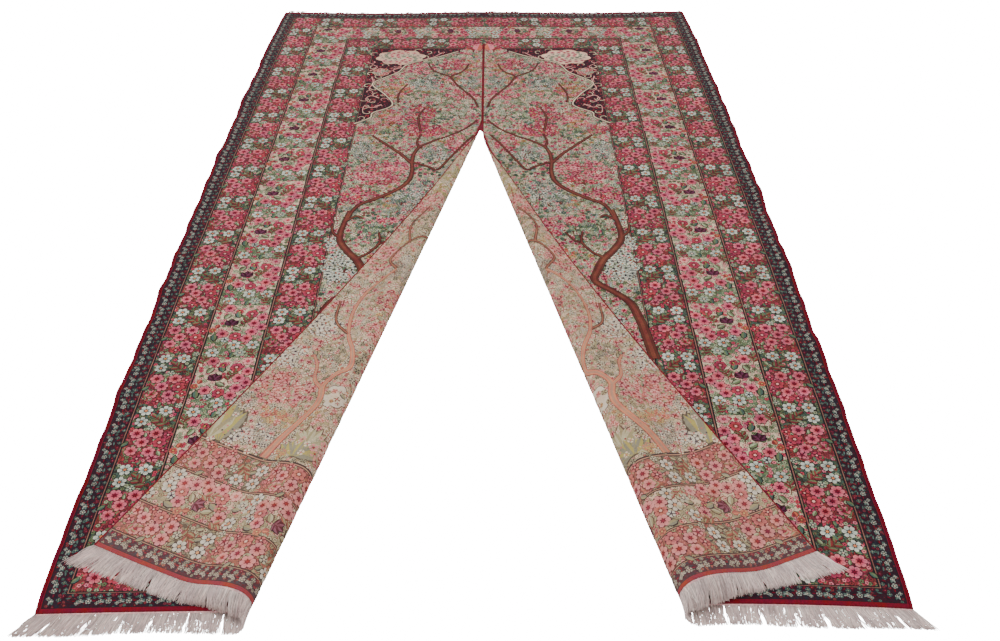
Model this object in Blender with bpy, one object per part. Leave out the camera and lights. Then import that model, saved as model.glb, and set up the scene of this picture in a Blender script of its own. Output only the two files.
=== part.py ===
# Persian rug with a slit up its middle, both flaps of the slit turned back over the rug.
# Flat cloth coordinates: across is measured from the slit (metres, + to the right),
# along from the foot edge, and rise from the reverse of the cloth towards its pile.
import bpy
import numpy as np

# Driving sizes, in metres.
HALF_WIDTH = 0.685          # slit to the outside of a side binding
LENGTH = 2.36               # foot edge to far edge, without the fringes
THICKNESS = 0.007           # foundation and pile
LAYER_GAP = 0.0015          # air between the pile of a flap and the pile under it
PIECE_GAP = 0.0004          # air between two pieces that touch
FRINGE_GAP = 0.0006         # air between the foot edge and its comb, round the fold too
SIDE_BULGE = 0.022          # how far the long edges bow outwards at mid length
BULGE_POWER = 0.6           # below 1 the bow is fuller towards the corners
FOOT_BOW = 0.022            # how far the foot edge bows out towards the slit
FAR_DIP = 0.010             # how far the far edge is drawn in, halfway to each corner
SLIT_TOP = 2.10             # where the slit ends, along the rug
SIDE_BINDING = 0.006        # width of a side binding
SLIT_BINDING = 0.005        # width of a slit binding
FOOT_FRINGE = 0.036         # length of the fringe at the foot
FAR_FRINGE = 0.024          # length of the worn fringe at the far end
FRINGE_THICKNESS = 0.0025
FRINGE_HEADING = 0.006      # unbroken strip that the teeth of a comb hang from
TOOTH_PITCH = 0.02
TOOTH_SHARE = 0.7           # share of the pitch that a tooth takes at its root
TIP_SHARE = 0.45            # the same at its tip
FRINGE_SPLAY = 0.5          # sideways lean of the outermost teeth at the foot
SPLAY_FROM = 0.45           # distance from the slit at which the teeth begin to lean
FRINGE_DROOP = 0.35         # how far a raised tooth sinks towards the lower layer
TOOTH_BEND = 0.55           # share of a foot tooth's length at its middle row of points
BINDING_EASE = 0.3          # share of a binding's section that its eased corners take

APEX_RADIUS = THICKNESS + LAYER_GAP / 2
LAID_HEIGHT = 2 * THICKNESS + LAYER_GAP
SETTLE_START = 0.01         # length over which the tightest fold settles
SETTLE_RATIO = 3.3          # extra settling length for each metre of hump height

# One row per flap: side is -1 left or +1 right, apex_y is where the fold line meets
# the slit, foot_x is where it meets the foot edge, foot_radius is the outer radius of
# the fold there. take_mid and take_foot are how far the edge is drawn back from the
# middle line, at mid length and at the foot. foot_rise is how far the foot edge is drawn
# up the rug at the fold line.
FLAPS = {
    "left": {"side": -1, "apex_y": 1.595, "foot_x": 0.370, "foot_radius": 0.0245,
             "take_mid": 0.021, "take_foot": 0.004, "foot_rise": 0.004},
    "right": {"side": 1, "apex_y": 1.530, "foot_x": 0.350, "foot_radius": 0.0300,
              "take_mid": 0.020, "take_foot": 0.020, "foot_rise": 0.012},
}

# Stations along the rug, one row per stretch: where it ends and how many steps it takes.
STRETCHES = [
    {"ends_at": 0.30, "steps": 5},
    {"ends_at": 1.36, "steps": 9},
    {"ends_at": 1.61, "steps": 15},
    {"ends_at": SLIT_TOP, "steps": 6},
    {"ends_at": LENGTH, "steps": 4},
]
OUTER_STEPS = 4             # columns between a side edge and the fold line
ROLL_STEPS = 7              # columns round the fold
SETTLE_STEPS = 3            # columns where the flap comes down
ABOVE_APEX_SPREAD = 0.35    # how fast the fold's columns fan out above the apex
LEAST_STRIP = 0.012         # least width that the fold's columns share
SLIT_MARGIN = 1.08          # width wanted past the fold line, against what the fold takes
SMOOTH_BELOW = np.radians(45)
ROW_TOLERANCE = 1e-6

# Foot edge to the middle of the rug and its fringes.
CENTRE_ALONG = (LENGTH + FAR_FRINGE - FOOT_FRINGE) / 2

MATERIALS = {
    "pile": {"colour": (0.36, 0.20, 0.17), "roughness": 0.92},
    "binding": {"colour": (0.42, 0.02, 0.05), "roughness": 0.85},
    "fringe": {"colour": (0.66, 0.57, 0.54), "roughness": 0.95},
}


def clear_scene():
    for thing in list(bpy.data.objects):
        bpy.data.objects.remove(thing, do_unlink=True)


def make_material(name):
    entry = MATERIALS[name]
    material = bpy.data.materials.new(name)
    material.use_nodes = True
    shader = material.node_tree.nodes["Principled BSDF"]
    shader.inputs["Base Color"].default_value = (*entry["colour"], 1.0)
    shader.inputs["Roughness"].default_value = entry["roughness"]
    shader.inputs["Metallic"].default_value = 0.0
    return material


def stations():
    rows = [0.0]
    for stretch in STRETCHES:
        inner = np.linspace(rows[-1], stretch["ends_at"], stretch["steps"] + 1)[1:]
        rows.extend(inner)
    return np.array(rows)


def slit_take(flap, along):
    # Distance from the middle line to the slit edge of the cloth: nothing above the
    # apex, then half a sine wave plus a straight ramp down to the foot.
    way = np.clip((flap["apex_y"] - along) / flap["apex_y"], 0.0, 1.0)
    return flap["take_mid"] * np.sin(np.pi * way) + flap["take_foot"] * way


def fold_frame(flap):
    # Unit vectors down the fold line and across it towards the slit.
    run = np.array([flap["side"] * flap["foot_x"], -flap["apex_y"]])
    length = np.hypot(*run)
    down = run / length
    inward = np.array([down[1] * flap["side"], -down[0] * flap["side"]])
    return down, inward, length


def fold_radius(flap, down_line):
    length = fold_frame(flap)[2]
    way = np.clip(down_line / length, 0.0, 1.1)
    return APEX_RADIUS + (flap["foot_radius"] - APEX_RADIUS) * way


def lay(flap, across, along, rise):
    # Flat cloth coordinates to the folded rug. Outside the fold line the cloth lies on
    # the floor. Past it the reverse rolls round a cone, then comes down in half a cosine
    # wave until it lies on the layer below.
    across, along, rise = np.broadcast_arrays(across, along, rise)
    down, inward, _ = fold_frame(flap)
    from_apex = np.stack([across, along - flap["apex_y"]], axis=-1)
    down_line = from_apex @ down
    over = from_apex @ inward
    folded = (over > 0.0) & (along < flap["apex_y"])
    over = np.where(folded, over, 0.0)
    radius = fold_radius(flap, down_line)
    angle = np.minimum(over / radius, np.pi)
    hump = 2 * radius - LAID_HEIGHT
    settle = SETTLE_START + SETTLE_RATIO * hump
    past = np.maximum(over - np.pi * radius, 0.0)
    share = np.minimum(past / settle, 1.0)
    steep = hump * np.pi / (2 * settle)
    slack = steep ** 2 / 4 * settle * (share - np.sin(2 * np.pi * share) / (2 * np.pi))
    reach = radius * np.sin(angle) - (past - slack)
    height = radius * (1 - np.cos(angle)) - hump * (1 - np.cos(np.pi * share)) / 2
    slope = steep * np.sin(np.pi * share)
    lean = np.where(past > 0.0, np.pi + np.arctan(slope), angle)
    reach = reach - rise * np.sin(lean)
    height = height + rise * np.cos(lean)
    wave = np.sin(np.pi * np.clip(along / LENGTH, 0.0, 1.0))
    bulge = flap["side"] * SIDE_BULGE * wave ** BULGE_POWER * (across / HALF_WIDTH) ** 2
    flat_x = across + bulge
    place = from_apex - (from_apex @ inward)[..., None] * inward + reach[..., None] * inward
    x = np.where(folded, place[..., 0], flat_x)
    y = np.where(folded, place[..., 1] + flap["apex_y"], along)
    z = np.where(folded, height, rise)
    return np.stack([x, y - CENTRE_ALONG, z], axis=-1)


def end_shift(flap, across, along):
    # How far a point is drawn down towards the foot. The foot edge bows out between the
    # two fold lines and is drawn up a little at each of them; the far edge dips halfway
    # to each corner. Both fade into the rug.
    reach = np.abs(across)
    fold_x = flap["foot_x"]
    bow = FOOT_BOW * np.clip(1 - (reach / fold_x) ** 2, 0.0, 1.0)
    spread = np.where(reach < fold_x, fold_x, HALF_WIDTH - fold_x)
    rise = flap["foot_rise"] * np.clip(1 - ((reach - fold_x) / spread) ** 2, 0.0, 1.0)
    near = (bow - rise) * np.clip(1 - along / STRETCHES[0]["ends_at"], 0.0, 1.0)
    dip = FAR_DIP * np.sin(np.pi * reach / HALF_WIDTH) ** 2
    return near + dip * np.clip((along - SLIT_TOP) / (LENGTH - SLIT_TOP), 0.0, 1.0)


def columns(flap, along):
    # Positions across the rug, from the side edge to the slit edge: even steps to the
    # fold line, equal angles round the fold, then the stretch where the flap settles.
    down, inward, _ = fold_frame(flap)
    slit_edge = slit_take(flap, along) + PIECE_GAP / 2 + SLIT_BINDING + PIECE_GAP
    side_edge = HALF_WIDTH - SIDE_BINDING - PIECE_GAP
    apex = flap["apex_y"]
    fold_line = flap["foot_x"] * (1 - along / apex)
    least = slit_edge + LEAST_STRIP + ABOVE_APEX_SPREAD * max(0.0, along - apex)
    start = max(fold_line, least)
    radius = float(fold_radius(flap, max(0.0, apex - along)))
    lean = 1.0 / abs(inward[0])
    roll = lean * radius * np.linspace(0.0, np.pi, ROLL_STEPS + 1)
    settle = SETTLE_START + SETTLE_RATIO * (2 * radius - LAID_HEIGHT)
    steps = roll[-1] + lean * settle * np.linspace(0.0, 1.0, SETTLE_STEPS + 1)[1:]
    wanted = np.concatenate([roll, steps])
    room = start - slit_edge
    full = max(room, SLIT_MARGIN * wanted[-1])
    inner = start - np.append(wanted, full) * room / full
    outer = np.linspace(side_edge, start, OUTER_STEPS + 1)[:-1]
    return flap["side"] * np.concatenate([outer, inner])


def shell_object(name, under, over, present, material):
    # Closed solid between two grids of points. present says which cells of the grid
    # exist; every edge that only one cell uses gets a wall.
    rows, cols = under.shape[:2]
    points = np.concatenate([under.reshape(-1, 3), over.reshape(-1, 3)])
    count = rows * cols
    faces = []
    edge_use = {}
    for i in range(rows - 1):
        for j in range(cols - 1):
            if not present[i, j]:
                continue
            a = i * cols + j
            corners = [a, a + 1, a + 1 + cols, a + cols]
            faces.append(tuple(corner + count for corner in corners))
            faces.append(tuple(reversed(corners)))
            for k in range(4):
                edge = (corners[k], corners[(k + 1) % 4])
                edge_use[edge] = edge_use.get(edge, 0) + 1
    for first, second in edge_use:
        if (second, first) in edge_use:
            continue
        # Both triangles of a wall meet on the line from its lower to its higher row.
        if first < second:
            faces.append((first, second, second + count))
            faces.append((first, second + count, first + count))
        else:
            faces.append((first, second, first + count))
            faces.append((second, second + count, first + count))
    used = sorted({corner for face in faces for corner in face})
    renumber = {old: new for new, old in enumerate(used)}
    mesh = bpy.data.meshes.new(name)
    mesh.from_pydata(points[used].tolist(), [], [[renumber[c] for c in face] for face in faces])
    mesh.update()
    thing = bpy.data.objects.new(name, mesh)
    bpy.context.collection.objects.link(thing)
    mesh.materials.append(material)
    mesh.shade_smooth()
    mesh.set_sharp_from_angle(angle=SMOOTH_BELOW)
    return thing


def make_body(material):
    # Left half and right half share every row. The cells between their slit columns
    # exist only above the top of the slit.
    rows = stations()
    grids = []
    for flap in FLAPS.values():
        across = np.array([columns(flap, along) for along in rows])
        along = rows[:, None] - end_shift(flap, across, rows[:, None])
        if flap["side"] > 0:
            across = across[:, ::-1]
            along = along[:, ::-1]
        grids.append([lay(flap, across, along, rise) for rise in (0.0, THICKNESS)])
    under = np.concatenate([grids[0][0], grids[1][0]], axis=1)
    over = np.concatenate([grids[0][1], grids[1][1]], axis=1)
    present = np.ones((under.shape[0] - 1, under.shape[1] - 1), dtype=bool)
    slit_cell = grids[0][0].shape[1] - 1
    present[rows[:-1] < SLIT_TOP - ROW_TOLERANCE, slit_cell] = False
    return shell_object("rug_body", under, over, present, material)


def rounded_section(width, height):
    # Corners of a binding's section, with its free side eased.
    ease = BINDING_EASE
    return np.array([
        (0.0, 0.0),
        ((1 - ease) * width, 0.0),
        (width, ease * height),
        (width, (1 - ease) * height),
        ((1 - ease) * width, height),
        (0.0, height),
    ])


def tube_object(name, rings, material):
    # Closed solid through a row of like sections, with flat ends.
    count, sides = rings.shape[:2]
    faces = [tuple(range(sides)), tuple((count - 1) * sides + k for k in reversed(range(sides)))]
    for i in range(count - 1):
        for k in range(sides):
            near = i * sides
            far = near + sides
            after = (k + 1) % sides
            faces.append((near + k, far + k, near + after))
            faces.append((far + k, far + after, near + after))
    mesh = bpy.data.meshes.new(name)
    mesh.from_pydata(rings.reshape(-1, 3).tolist(), [], faces)
    mesh.update()
    thing = bpy.data.objects.new(name, mesh)
    bpy.context.collection.objects.link(thing)
    mesh.materials.append(material)
    mesh.shade_smooth()
    mesh.set_sharp_from_angle(angle=SMOOTH_BELOW)
    return thing


def orient_outward(thing):
    # Turns the faces round where the section runs the other way.
    mesh = thing.data
    mesh.calc_loop_triangles()
    points = np.array([vertex.co[:] for vertex in mesh.vertices])
    volume = 0.0
    for triangle in mesh.loop_triangles:
        a, b, c = points[list(triangle.vertices)]
        volume += np.dot(a, np.cross(b, c))
    if volume < 0.0:
        mesh.flip_normals()


def make_side_binding(flap_name, material):
    flap = FLAPS[flap_name]
    section = rounded_section(SIDE_BINDING, THICKNESS)
    rows = stations()
    across = flap["side"] * (HALF_WIDTH - SIDE_BINDING + section[None, :, 0])
    along = rows[:, None] - end_shift(flap, across, rows[:, None])
    rings = lay(flap, across, along, section[None, :, 1])
    thing = tube_object("binding_side_" + flap_name, rings, material)
    orient_outward(thing)


def make_slit_binding(flap_name, material):
    flap = FLAPS[flap_name]
    section = rounded_section(SLIT_BINDING, THICKNESS)
    rows = stations()
    rows = rows[rows <= SLIT_TOP + ROW_TOLERANCE]
    rows[-1] = SLIT_TOP - PIECE_GAP
    edge = slit_take(flap, rows)[:, None] + PIECE_GAP / 2 + SLIT_BINDING
    across = flap["side"] * (edge - section[None, :, 0])
    along = rows[:, None] - end_shift(flap, across, rows[:, None])
    rings = lay(flap, across, along, section[None, :, 1])
    thing = tube_object("binding_slit_" + flap_name, rings, material)
    orient_outward(thing)


def comb_columns(start, end):
    # Left and right side of every tooth, and the middle of each tooth between them.
    teeth = max(1, int(round((end - start) / TOOTH_PITCH)))
    pitch = (end - start) / teeth
    middles = start + pitch * (np.arange(teeth) + 0.5)
    return middles, pitch


def make_foot_comb(flap_name, material):
    # Comb from the side edge to the slit: heading, then teeth in two lengths.
    flap = FLAPS[flap_name]
    inner = slit_take(flap, 0.0) + PIECE_GAP
    middles, pitch = comb_columns(inner, HALF_WIDTH - PIECE_GAP)
    shares = [TOOTH_SHARE, TOOTH_SHARE, (TOOTH_SHARE + TIP_SHARE) / 2, TIP_SHARE]
    reaches = [FRINGE_GAP, FRINGE_HEADING, FOOT_FRINGE * TOOTH_BEND, FOOT_FRINGE]
    rows = []
    for share, reach in zip(shares, reaches):
        sides = np.stack([middles - share * pitch / 2, middles + share * pitch / 2], axis=-1)
        root = sides.reshape(-1)
        splay = np.clip((root - SPLAY_FROM) / (HALF_WIDTH - SPLAY_FROM), 0.0, 1.0) ** 2
        rows.append((root + FRINGE_SPLAY * splay * reach, root, np.full_like(root, reach)))
    across = flap["side"] * np.array([row[0] for row in rows])
    root = np.array([row[1] for row in rows])
    reach = np.array([row[2] for row in rows])
    along = -end_shift(flap, root, 0.0) - reach
    grids = []
    for rise in (0.0, FRINGE_THICKNESS):
        points = lay(flap, across, along, rise)
        raised = np.maximum(points[..., 2] - rise - LAID_HEIGHT + THICKNESS, 0.0)
        points[..., 2] -= FRINGE_DROOP * raised * (reach / FOOT_FRINGE) ** 2
        grids.append(points)
    present = np.ones((len(reaches) - 1, across.shape[1] - 1), dtype=bool)
    present[1:, 1::2] = False
    thing = shell_object("fringe_foot_" + flap_name, grids[0], grids[1], present, material)
    orient_outward(thing)


def make_far_comb(material):
    # Comb with short teeth, lying on the floor along the far edge.
    middles, pitch = comb_columns(-HALF_WIDTH + PIECE_GAP, HALF_WIDTH - PIECE_GAP)
    shares = [TOOTH_SHARE, TOOTH_SHARE, TIP_SHARE]
    reaches = [FRINGE_GAP, FRINGE_HEADING, FAR_FRINGE]
    grids = []
    for rise in (0.0, FRINGE_THICKNESS):
        rows = []
        for share, reach in zip(shares, reaches):
            sides = np.stack([middles - share * pitch / 2, middles + share * pitch / 2], axis=-1)
            across = sides.reshape(-1)
            dip = end_shift(FLAPS["left"], across, np.full_like(across, LENGTH))
            along = LENGTH + reach - dip - CENTRE_ALONG
            rows.append(np.stack([across, along, np.full_like(across, rise)], axis=-1))
        grids.append(np.array(rows))
    present = np.ones((len(reaches) - 1, grids[0].shape[1] - 1), dtype=bool)
    present[1:, 1::2] = False
    thing = shell_object("fringe_far", grids[0], grids[1], present, material)
    orient_outward(thing)


def main():
    clear_scene()
    pile = make_material("pile")
    binding = make_material("binding")
    fringe = make_material("fringe")
    body = make_body(pile)
    orient_outward(body)
    for flap_name in FLAPS:
        make_side_binding(flap_name, binding)
        make_slit_binding(flap_name, binding)
        make_foot_comb(flap_name, fringe)
    make_far_comb(fringe)


main()
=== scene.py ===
import bpy
import numpy as np
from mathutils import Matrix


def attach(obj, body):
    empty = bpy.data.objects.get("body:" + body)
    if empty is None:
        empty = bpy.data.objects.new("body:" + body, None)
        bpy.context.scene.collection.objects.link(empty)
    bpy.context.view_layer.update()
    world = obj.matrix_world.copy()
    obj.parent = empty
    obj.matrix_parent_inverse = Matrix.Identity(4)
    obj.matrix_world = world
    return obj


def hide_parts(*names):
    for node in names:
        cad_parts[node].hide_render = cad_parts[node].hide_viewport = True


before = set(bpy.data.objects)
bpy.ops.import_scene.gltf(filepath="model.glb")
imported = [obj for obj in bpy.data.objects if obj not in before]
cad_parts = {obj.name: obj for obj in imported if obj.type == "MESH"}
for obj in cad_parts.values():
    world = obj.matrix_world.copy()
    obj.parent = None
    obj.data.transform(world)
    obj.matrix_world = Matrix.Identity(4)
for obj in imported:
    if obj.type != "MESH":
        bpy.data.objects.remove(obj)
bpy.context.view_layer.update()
rng = np.random.default_rng(17)
print("frame loaded", len(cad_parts), "nodes")

# Sizes of the flat cloth, in metres: across from the slit, along from the foot edge.
rug = {
    "halfWidth": 0.685, "length": 2.36, "thickness": 0.007, "layerGap": 0.0015,
    "pieceGap": 0.0004, "sideBulge": 0.022, "bulgePower": 0.6, "footBow": 0.022,
    "farDip": 0.010, "slitTop": 2.10, "sideBinding": 0.006, "slitBinding": 0.003,
    "footFringe": 0.036, "farFringe": 0.024, "bowFade": 0.30,
}
centreAlong = (rug["length"] + rug["farFringe"] - rug["footFringe"]) / 2
apexRadius = rug["thickness"] + rug["layerGap"] / 2
laidHeight = 2 * rug["thickness"] + rug["layerGap"]

# Each entry holds the left flap's value, then the right flap's.
fold = {
    "apexY": (1.595, 1.530), "footX": (0.370, 0.350), "footRadius": (0.0245, 0.0300),
    "takeMid": (0.021, 0.020), "takeFoot": (0.004, 0.020), "footRise": (0.004, 0.012),
    "settleStart": 0.01, "settleRatio": 3.3,
}
# Small unevenness of the long edges: sideways ripple and lift off the floor.
ruffle = {"ripple": 0.0013, "rippleLength": 0.148, "lift": 0.0035, "liftLength": 0.31,
          "from": 0.625, "fadeFoot": 0.25}


def pick(name, across):
    left, right = fold[name]
    return np.where(across < 0, left, right)


def smoothStep(low, high, value):
    t = np.clip((value - low) / (high - low), 0.0, 1.0)
    return t * t * (3 - 2 * t)


# take = mid * sin(pi * way) + foot * way, with way 0 at the apex and 1 at the foot
def slitTake(across, along):
    apex = pick("apexY", across)
    way = np.clip((apex - along) / apex, 0.0, 1.0)
    return pick("takeMid", across) * np.sin(np.pi * way) + pick("takeFoot", across) * way


# unit vectors along the fold line to the foot and across it to the slit, and its length
def foldAxes(across):
    side = np.where(across < 0, -1.0, 1.0)
    footX, apex = pick("footX", across), pick("apexY", across)
    length = np.hypot(footX, apex)
    down = np.stack([side * footX, -apex], axis=-1) / length[..., None]
    inward = np.stack([down[..., 1] * side, -down[..., 0] * side], axis=-1)
    return down, inward, length


# place seen from the apex, its run down the fold line, its distance past the line, and
# the cone's radius there, which grows evenly from the apex to the foot
def overFold(across, along):
    down, inward, length = foldAxes(across)
    fromApex = np.stack([across, along - pick("apexY", across)], axis=-1)
    downLine = np.sum(fromApex * down, axis=-1)
    over = np.sum(fromApex * inward, axis=-1)
    grow = np.clip(downLine / length, 0.0, 1.1)
    radius = apexRadius + (pick("footRadius", across) - apexRadius) * grow
    return fromApex, downLine, over, radius


# height of the foot's bow less its rise at the fold line, and the far edge's dip
def endShift(across, along):
    reach, footX = np.abs(across), pick("footX", across)
    bow = rug["footBow"] * np.clip(1 - (reach / footX) ** 2, 0.0, 1.0)
    spread = np.where(reach < footX, footX, rug["halfWidth"] - footX)
    rise = pick("footRise", across) * np.clip(1 - ((reach - footX) / spread) ** 2, 0.0, 1.0)
    near = (bow - rise) * np.clip(1 - along / rug["bowFade"], 0.0, 1.0)
    dip = rug["farDip"] * np.sin(np.pi * reach / rug["halfWidth"]) ** 2
    return near + dip * np.clip((along - rug["slitTop"]) / (rug["length"] - rug["slitTop"]), 0, 1)


# Outside the fold line the cloth is flat; past it the reverse rolls round a cone of
# radius r (reach = r sin, height = r (1 - cos)) and comes down in half a cosine wave.
# The long edges bow out, ripple sideways and lift off the floor in slow sine waves.
def layCloth(across, along, rise):
    across, along, rise = np.broadcast_arrays(across, along, np.asarray(rise, float))
    inward = foldAxes(across)[1]
    fromApex, _, past, radius = overFold(across, along)
    folded = (past > 0) & (along < pick("apexY", across))
    over = np.where(folded, past, 0.0)
    angle = np.minimum(over / radius, np.pi)
    hump = 2 * radius - laidHeight
    settle = fold["settleStart"] + fold["settleRatio"] * hump
    beyond = np.maximum(over - np.pi * radius, 0.0)
    share = np.minimum(beyond / settle, 1.0)
    steep = hump * np.pi / (2 * settle)
    slack = steep ** 2 / 4 * settle * (share - np.sin(2 * np.pi * share) / (2 * np.pi))
    reach = radius * np.sin(angle) - (beyond - slack)
    height = radius * (1 - np.cos(angle)) - hump * (1 - np.cos(np.pi * share)) / 2
    slope = steep * np.sin(np.pi * share)
    lean = np.where(beyond > 0, np.pi + np.arctan(slope), angle)
    reach = reach - rise * np.sin(lean)
    height = height + rise * np.cos(lean)
    side = np.where(across < 0, -1.0, 1.0)
    wave = np.sin(np.pi * np.clip(along / rug["length"], 0.0, 1.0))
    bulge = side * rug["sideBulge"] * wave ** rug["bulgePower"] * (across / rug["halfWidth"]) ** 2
    edge = smoothStep(ruffle["from"], rug["halfWidth"], np.abs(across))
    turns = 2 * np.pi * along / ruffle["rippleLength"] + side
    ripple = ruffle["ripple"] * (np.sin(turns) + np.sin(0.37 * turns) + 0.6 * np.sin(2.3 * turns))
    ripple = ripple * wave ** 0.5
    turns = 2 * np.pi * along / ruffle["liftLength"] + 2 * side
    lift = ruffle["lift"] * np.clip(np.sin(turns) + 0.4 * np.sin(2.7 * turns), 0, None)
    lift = lift * edge ** 2 * smoothStep(ruffle["fadeFoot"], 0.5, along)
    lift = lift * (1 - smoothStep(2.1, 2.3, along))
    place = fromApex + (reach - past)[..., None] * inward
    x = np.where(folded, place[..., 0], across + bulge + side * ripple * edge)
    y = np.where(folded, place[..., 1] + pick("apexY", across), along)
    z = np.where(folded, height, rise + lift)
    return np.stack([x, y - centreAlong, z], axis=-1)


print("cloth function ready")

# lens in millimetres, place in metres, turns in degrees
view = {"lens": 34.45, "sensor": 36, "place": (0.0334, -2.0267, 1.3106), "pitchDown": 39.963,
        "yaw": -0.379}
camera = bpy.data.objects.new("camera", bpy.data.cameras.new("camera"))
bpy.context.collection.objects.link(camera)
camera.data.lens = view["lens"]
camera.data.sensor_width = view["sensor"]
camera.location = view["place"]
camera.rotation_euler = (np.radians(90 - view["pitchDown"]), 0, np.radians(view["yaw"]))
bpy.context.scene.camera = camera

studio = {"floorSize": 14.0, "floorGap": 0.0002, "floorColour": (0.86, 0.86, 0.86),
          "floorRoughness": 0.9, "floorGlow": 20.0, "world": 0.95, "keyPower": 70, "keySize": 3.5,
          "keyPlace": (-1.4, -0.6, 3.4)}


# level = base + floorGlow where the camera looks straight at it, base elsewhere
def glowFor(tree, base, socket):
    seen = tree.nodes.new("ShaderNodeLightPath").outputs["Is Camera Ray"]
    glow = tree.nodes.new("ShaderNodeMath")
    glow.operation = "MULTIPLY_ADD"
    glow.inputs[1].default_value = studio["floorGlow"]
    glow.inputs[2].default_value = base
    tree.links.new(seen, glow.inputs[0])
    tree.links.new(glow.outputs[0], socket)


# flat square floor, even white world, one soft square lamp turned to the middle
def makeStudio():
    half = studio["floorSize"] / 2
    mesh = bpy.data.meshes.new("floor")
    corners = [(-half, -half, 0), (half, -half, 0), (half, half, 0), (-half, half, 0)]
    mesh.from_pydata(corners, [], [(0, 1, 2, 3)])
    floor = bpy.data.objects.new("floor", mesh)
    bpy.context.collection.objects.link(floor)
    floor.location = (0, 0, -studio["floorGap"])
    paint = bpy.data.materials.new("floorPaint")
    paint.use_nodes = True
    shader = paint.node_tree.nodes["Principled BSDF"]
    shader.inputs["Base Color"].default_value = (*studio["floorColour"], 1)
    shader.inputs["Roughness"].default_value = studio["floorRoughness"]
    shader.inputs["Emission Color"].default_value = (1, 1, 1, 1)
    glowFor(paint.node_tree, 0.0, shader.inputs["Emission Strength"])
    mesh.materials.append(paint)
    world = bpy.data.worlds.new("studioWorld")
    world.use_nodes = True
    background = world.node_tree.nodes["Background"]
    background.inputs["Color"].default_value = (1, 1, 1, 1)
    glowFor(world.node_tree, studio["world"], background.inputs["Strength"])
    bpy.context.scene.world = world
    lamp = bpy.data.lights.new("softKey", "AREA")
    lamp.energy = studio["keyPower"]
    lamp.size = studio["keySize"]
    key = bpy.data.objects.new("softKey", lamp)
    key.location = studio["keyPlace"]
    bpy.context.collection.objects.link(key)
    direction = -np.array(studio["keyPlace"])
    key.rotation_euler = (np.arccos(-direction[2] / np.linalg.norm(direction)), 0,
                          np.arctan2(direction[1], direction[0]) - np.pi / 2)


makeStudio()
print("camera, floor and light ready")

# Wool colours by name, as screen colours from 0 to 255.
dyes = {
    "outline": (30, 24, 28), "brick": (124, 46, 50), "rose": (182, 62, 84), "pink": (208, 114, 124),
    "blush": (222, 152, 144), "crimson": (112, 10, 32), "dark": (50, 46, 40), "teal": (72, 94, 82),
    "leaf": (98, 110, 76), "sage": (150, 158, 124), "white": (206, 206, 188),
    "grey": (148, 158, 150), "orange": (200, 118, 76), "plum": (48, 20, 32), "navy": (34, 32, 42),
    "cream": (214, 190, 160), "sand": (192, 162, 134), "maroon": (58, 14, 26),
    "purple": (100, 44, 70), "bark": (90, 44, 36), "coral": (190, 92, 72), "gold": (184, 146, 84),
    "peach": (222, 176, 150), "shadow": (62, 42, 40), "cotton": (255, 236, 228),
    "lint": (228, 198, 192), "slit": (120, 20, 36), "lime": (128, 134, 52), "clay": (138, 92, 80),
    "shell": (236, 184, 182), "slate": (84, 98, 94), "ash": (150, 152, 140), "trunk": (116, 56, 46),
    "warp": (224, 172, 132),
}


# screen level to linear light: ((c + 0.055) / 1.055) ** 2.4
def dye(name, strength=1.0):
    level = np.array(dyes[name]) / 255
    return np.append(((level + 0.055) / 1.055) ** 2.4 * strength, 1.0)


# one node: settings first, then each input is linked or given its value
def put(tree, kind, links=None, **settings):
    node = tree.nodes.new("ShaderNode" + kind)
    for key, value in settings.items():
        setattr(node, key, value)
    for key, value in (links or {}).items():
        if isinstance(value, bpy.types.NodeSocket):
            tree.links.new(value, node.inputs[key])
        else:
            node.inputs[key].default_value = value
    return node


def calc(tree, operation, a, b=0.0, c=0.0):
    return put(tree, "Math", {0: a, 1: b, 2: c}, operation=operation).outputs[0]


def blend(tree, share, a, b, how="MIX"):
    return put(tree, "Mix", {0: share, 6: a, 7: b}, data_type="RGBA", blend_type=how).outputs[2]


def spread(tree, value, low, high, start=0.0, end=1.0):
    links = {"Value": value, "From Min": low, "From Max": high, "To Min": start, "To Max": end}
    return put(tree, "MapRange", links).outputs[0]


def speckle(tree, place, scale, detail=2.0):
    links = {"Vector": place, "Scale": scale, "Detail": detail}
    return put(tree, "TexNoise", links, noise_dimensions="2D").outputs[0]


# stops are (position, colour) pairs; a colour with alpha 0 leaves what is under it
def rampOf(tree, value, stops, how="CONSTANT"):
    node = put(tree, "ValToRGB", {0: value})
    node.color_ramp.interpolation = how
    while len(node.color_ramp.elements) < len(stops):
        node.color_ramp.elements.new(0.5)
    for element, (position, colour) in zip(node.color_ramp.elements, stops):
        element.position = position
        element.color = colour
    return node


def newGroup(name, inputs, outputs):
    tree = bpy.data.node_groups.new(name, "ShaderNodeTree")
    kinds = {"f": "NodeSocketFloat", "c": "NodeSocketColor", "v": "NodeSocketVector"}
    for side, sockets in (("INPUT", inputs), ("OUTPUT", outputs)):
        for label, kind in sockets.items():
            tree.interface.new_socket(label, in_out=side, socket_type=kinds[kind])
    start = tree.nodes.new("NodeGroupInput").outputs
    end = tree.nodes.new("NodeGroupOutput").inputs
    return tree, start, end


def useGroup(tree, group, links):
    return put(tree, "Group", links, node_tree=group).outputs


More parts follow.
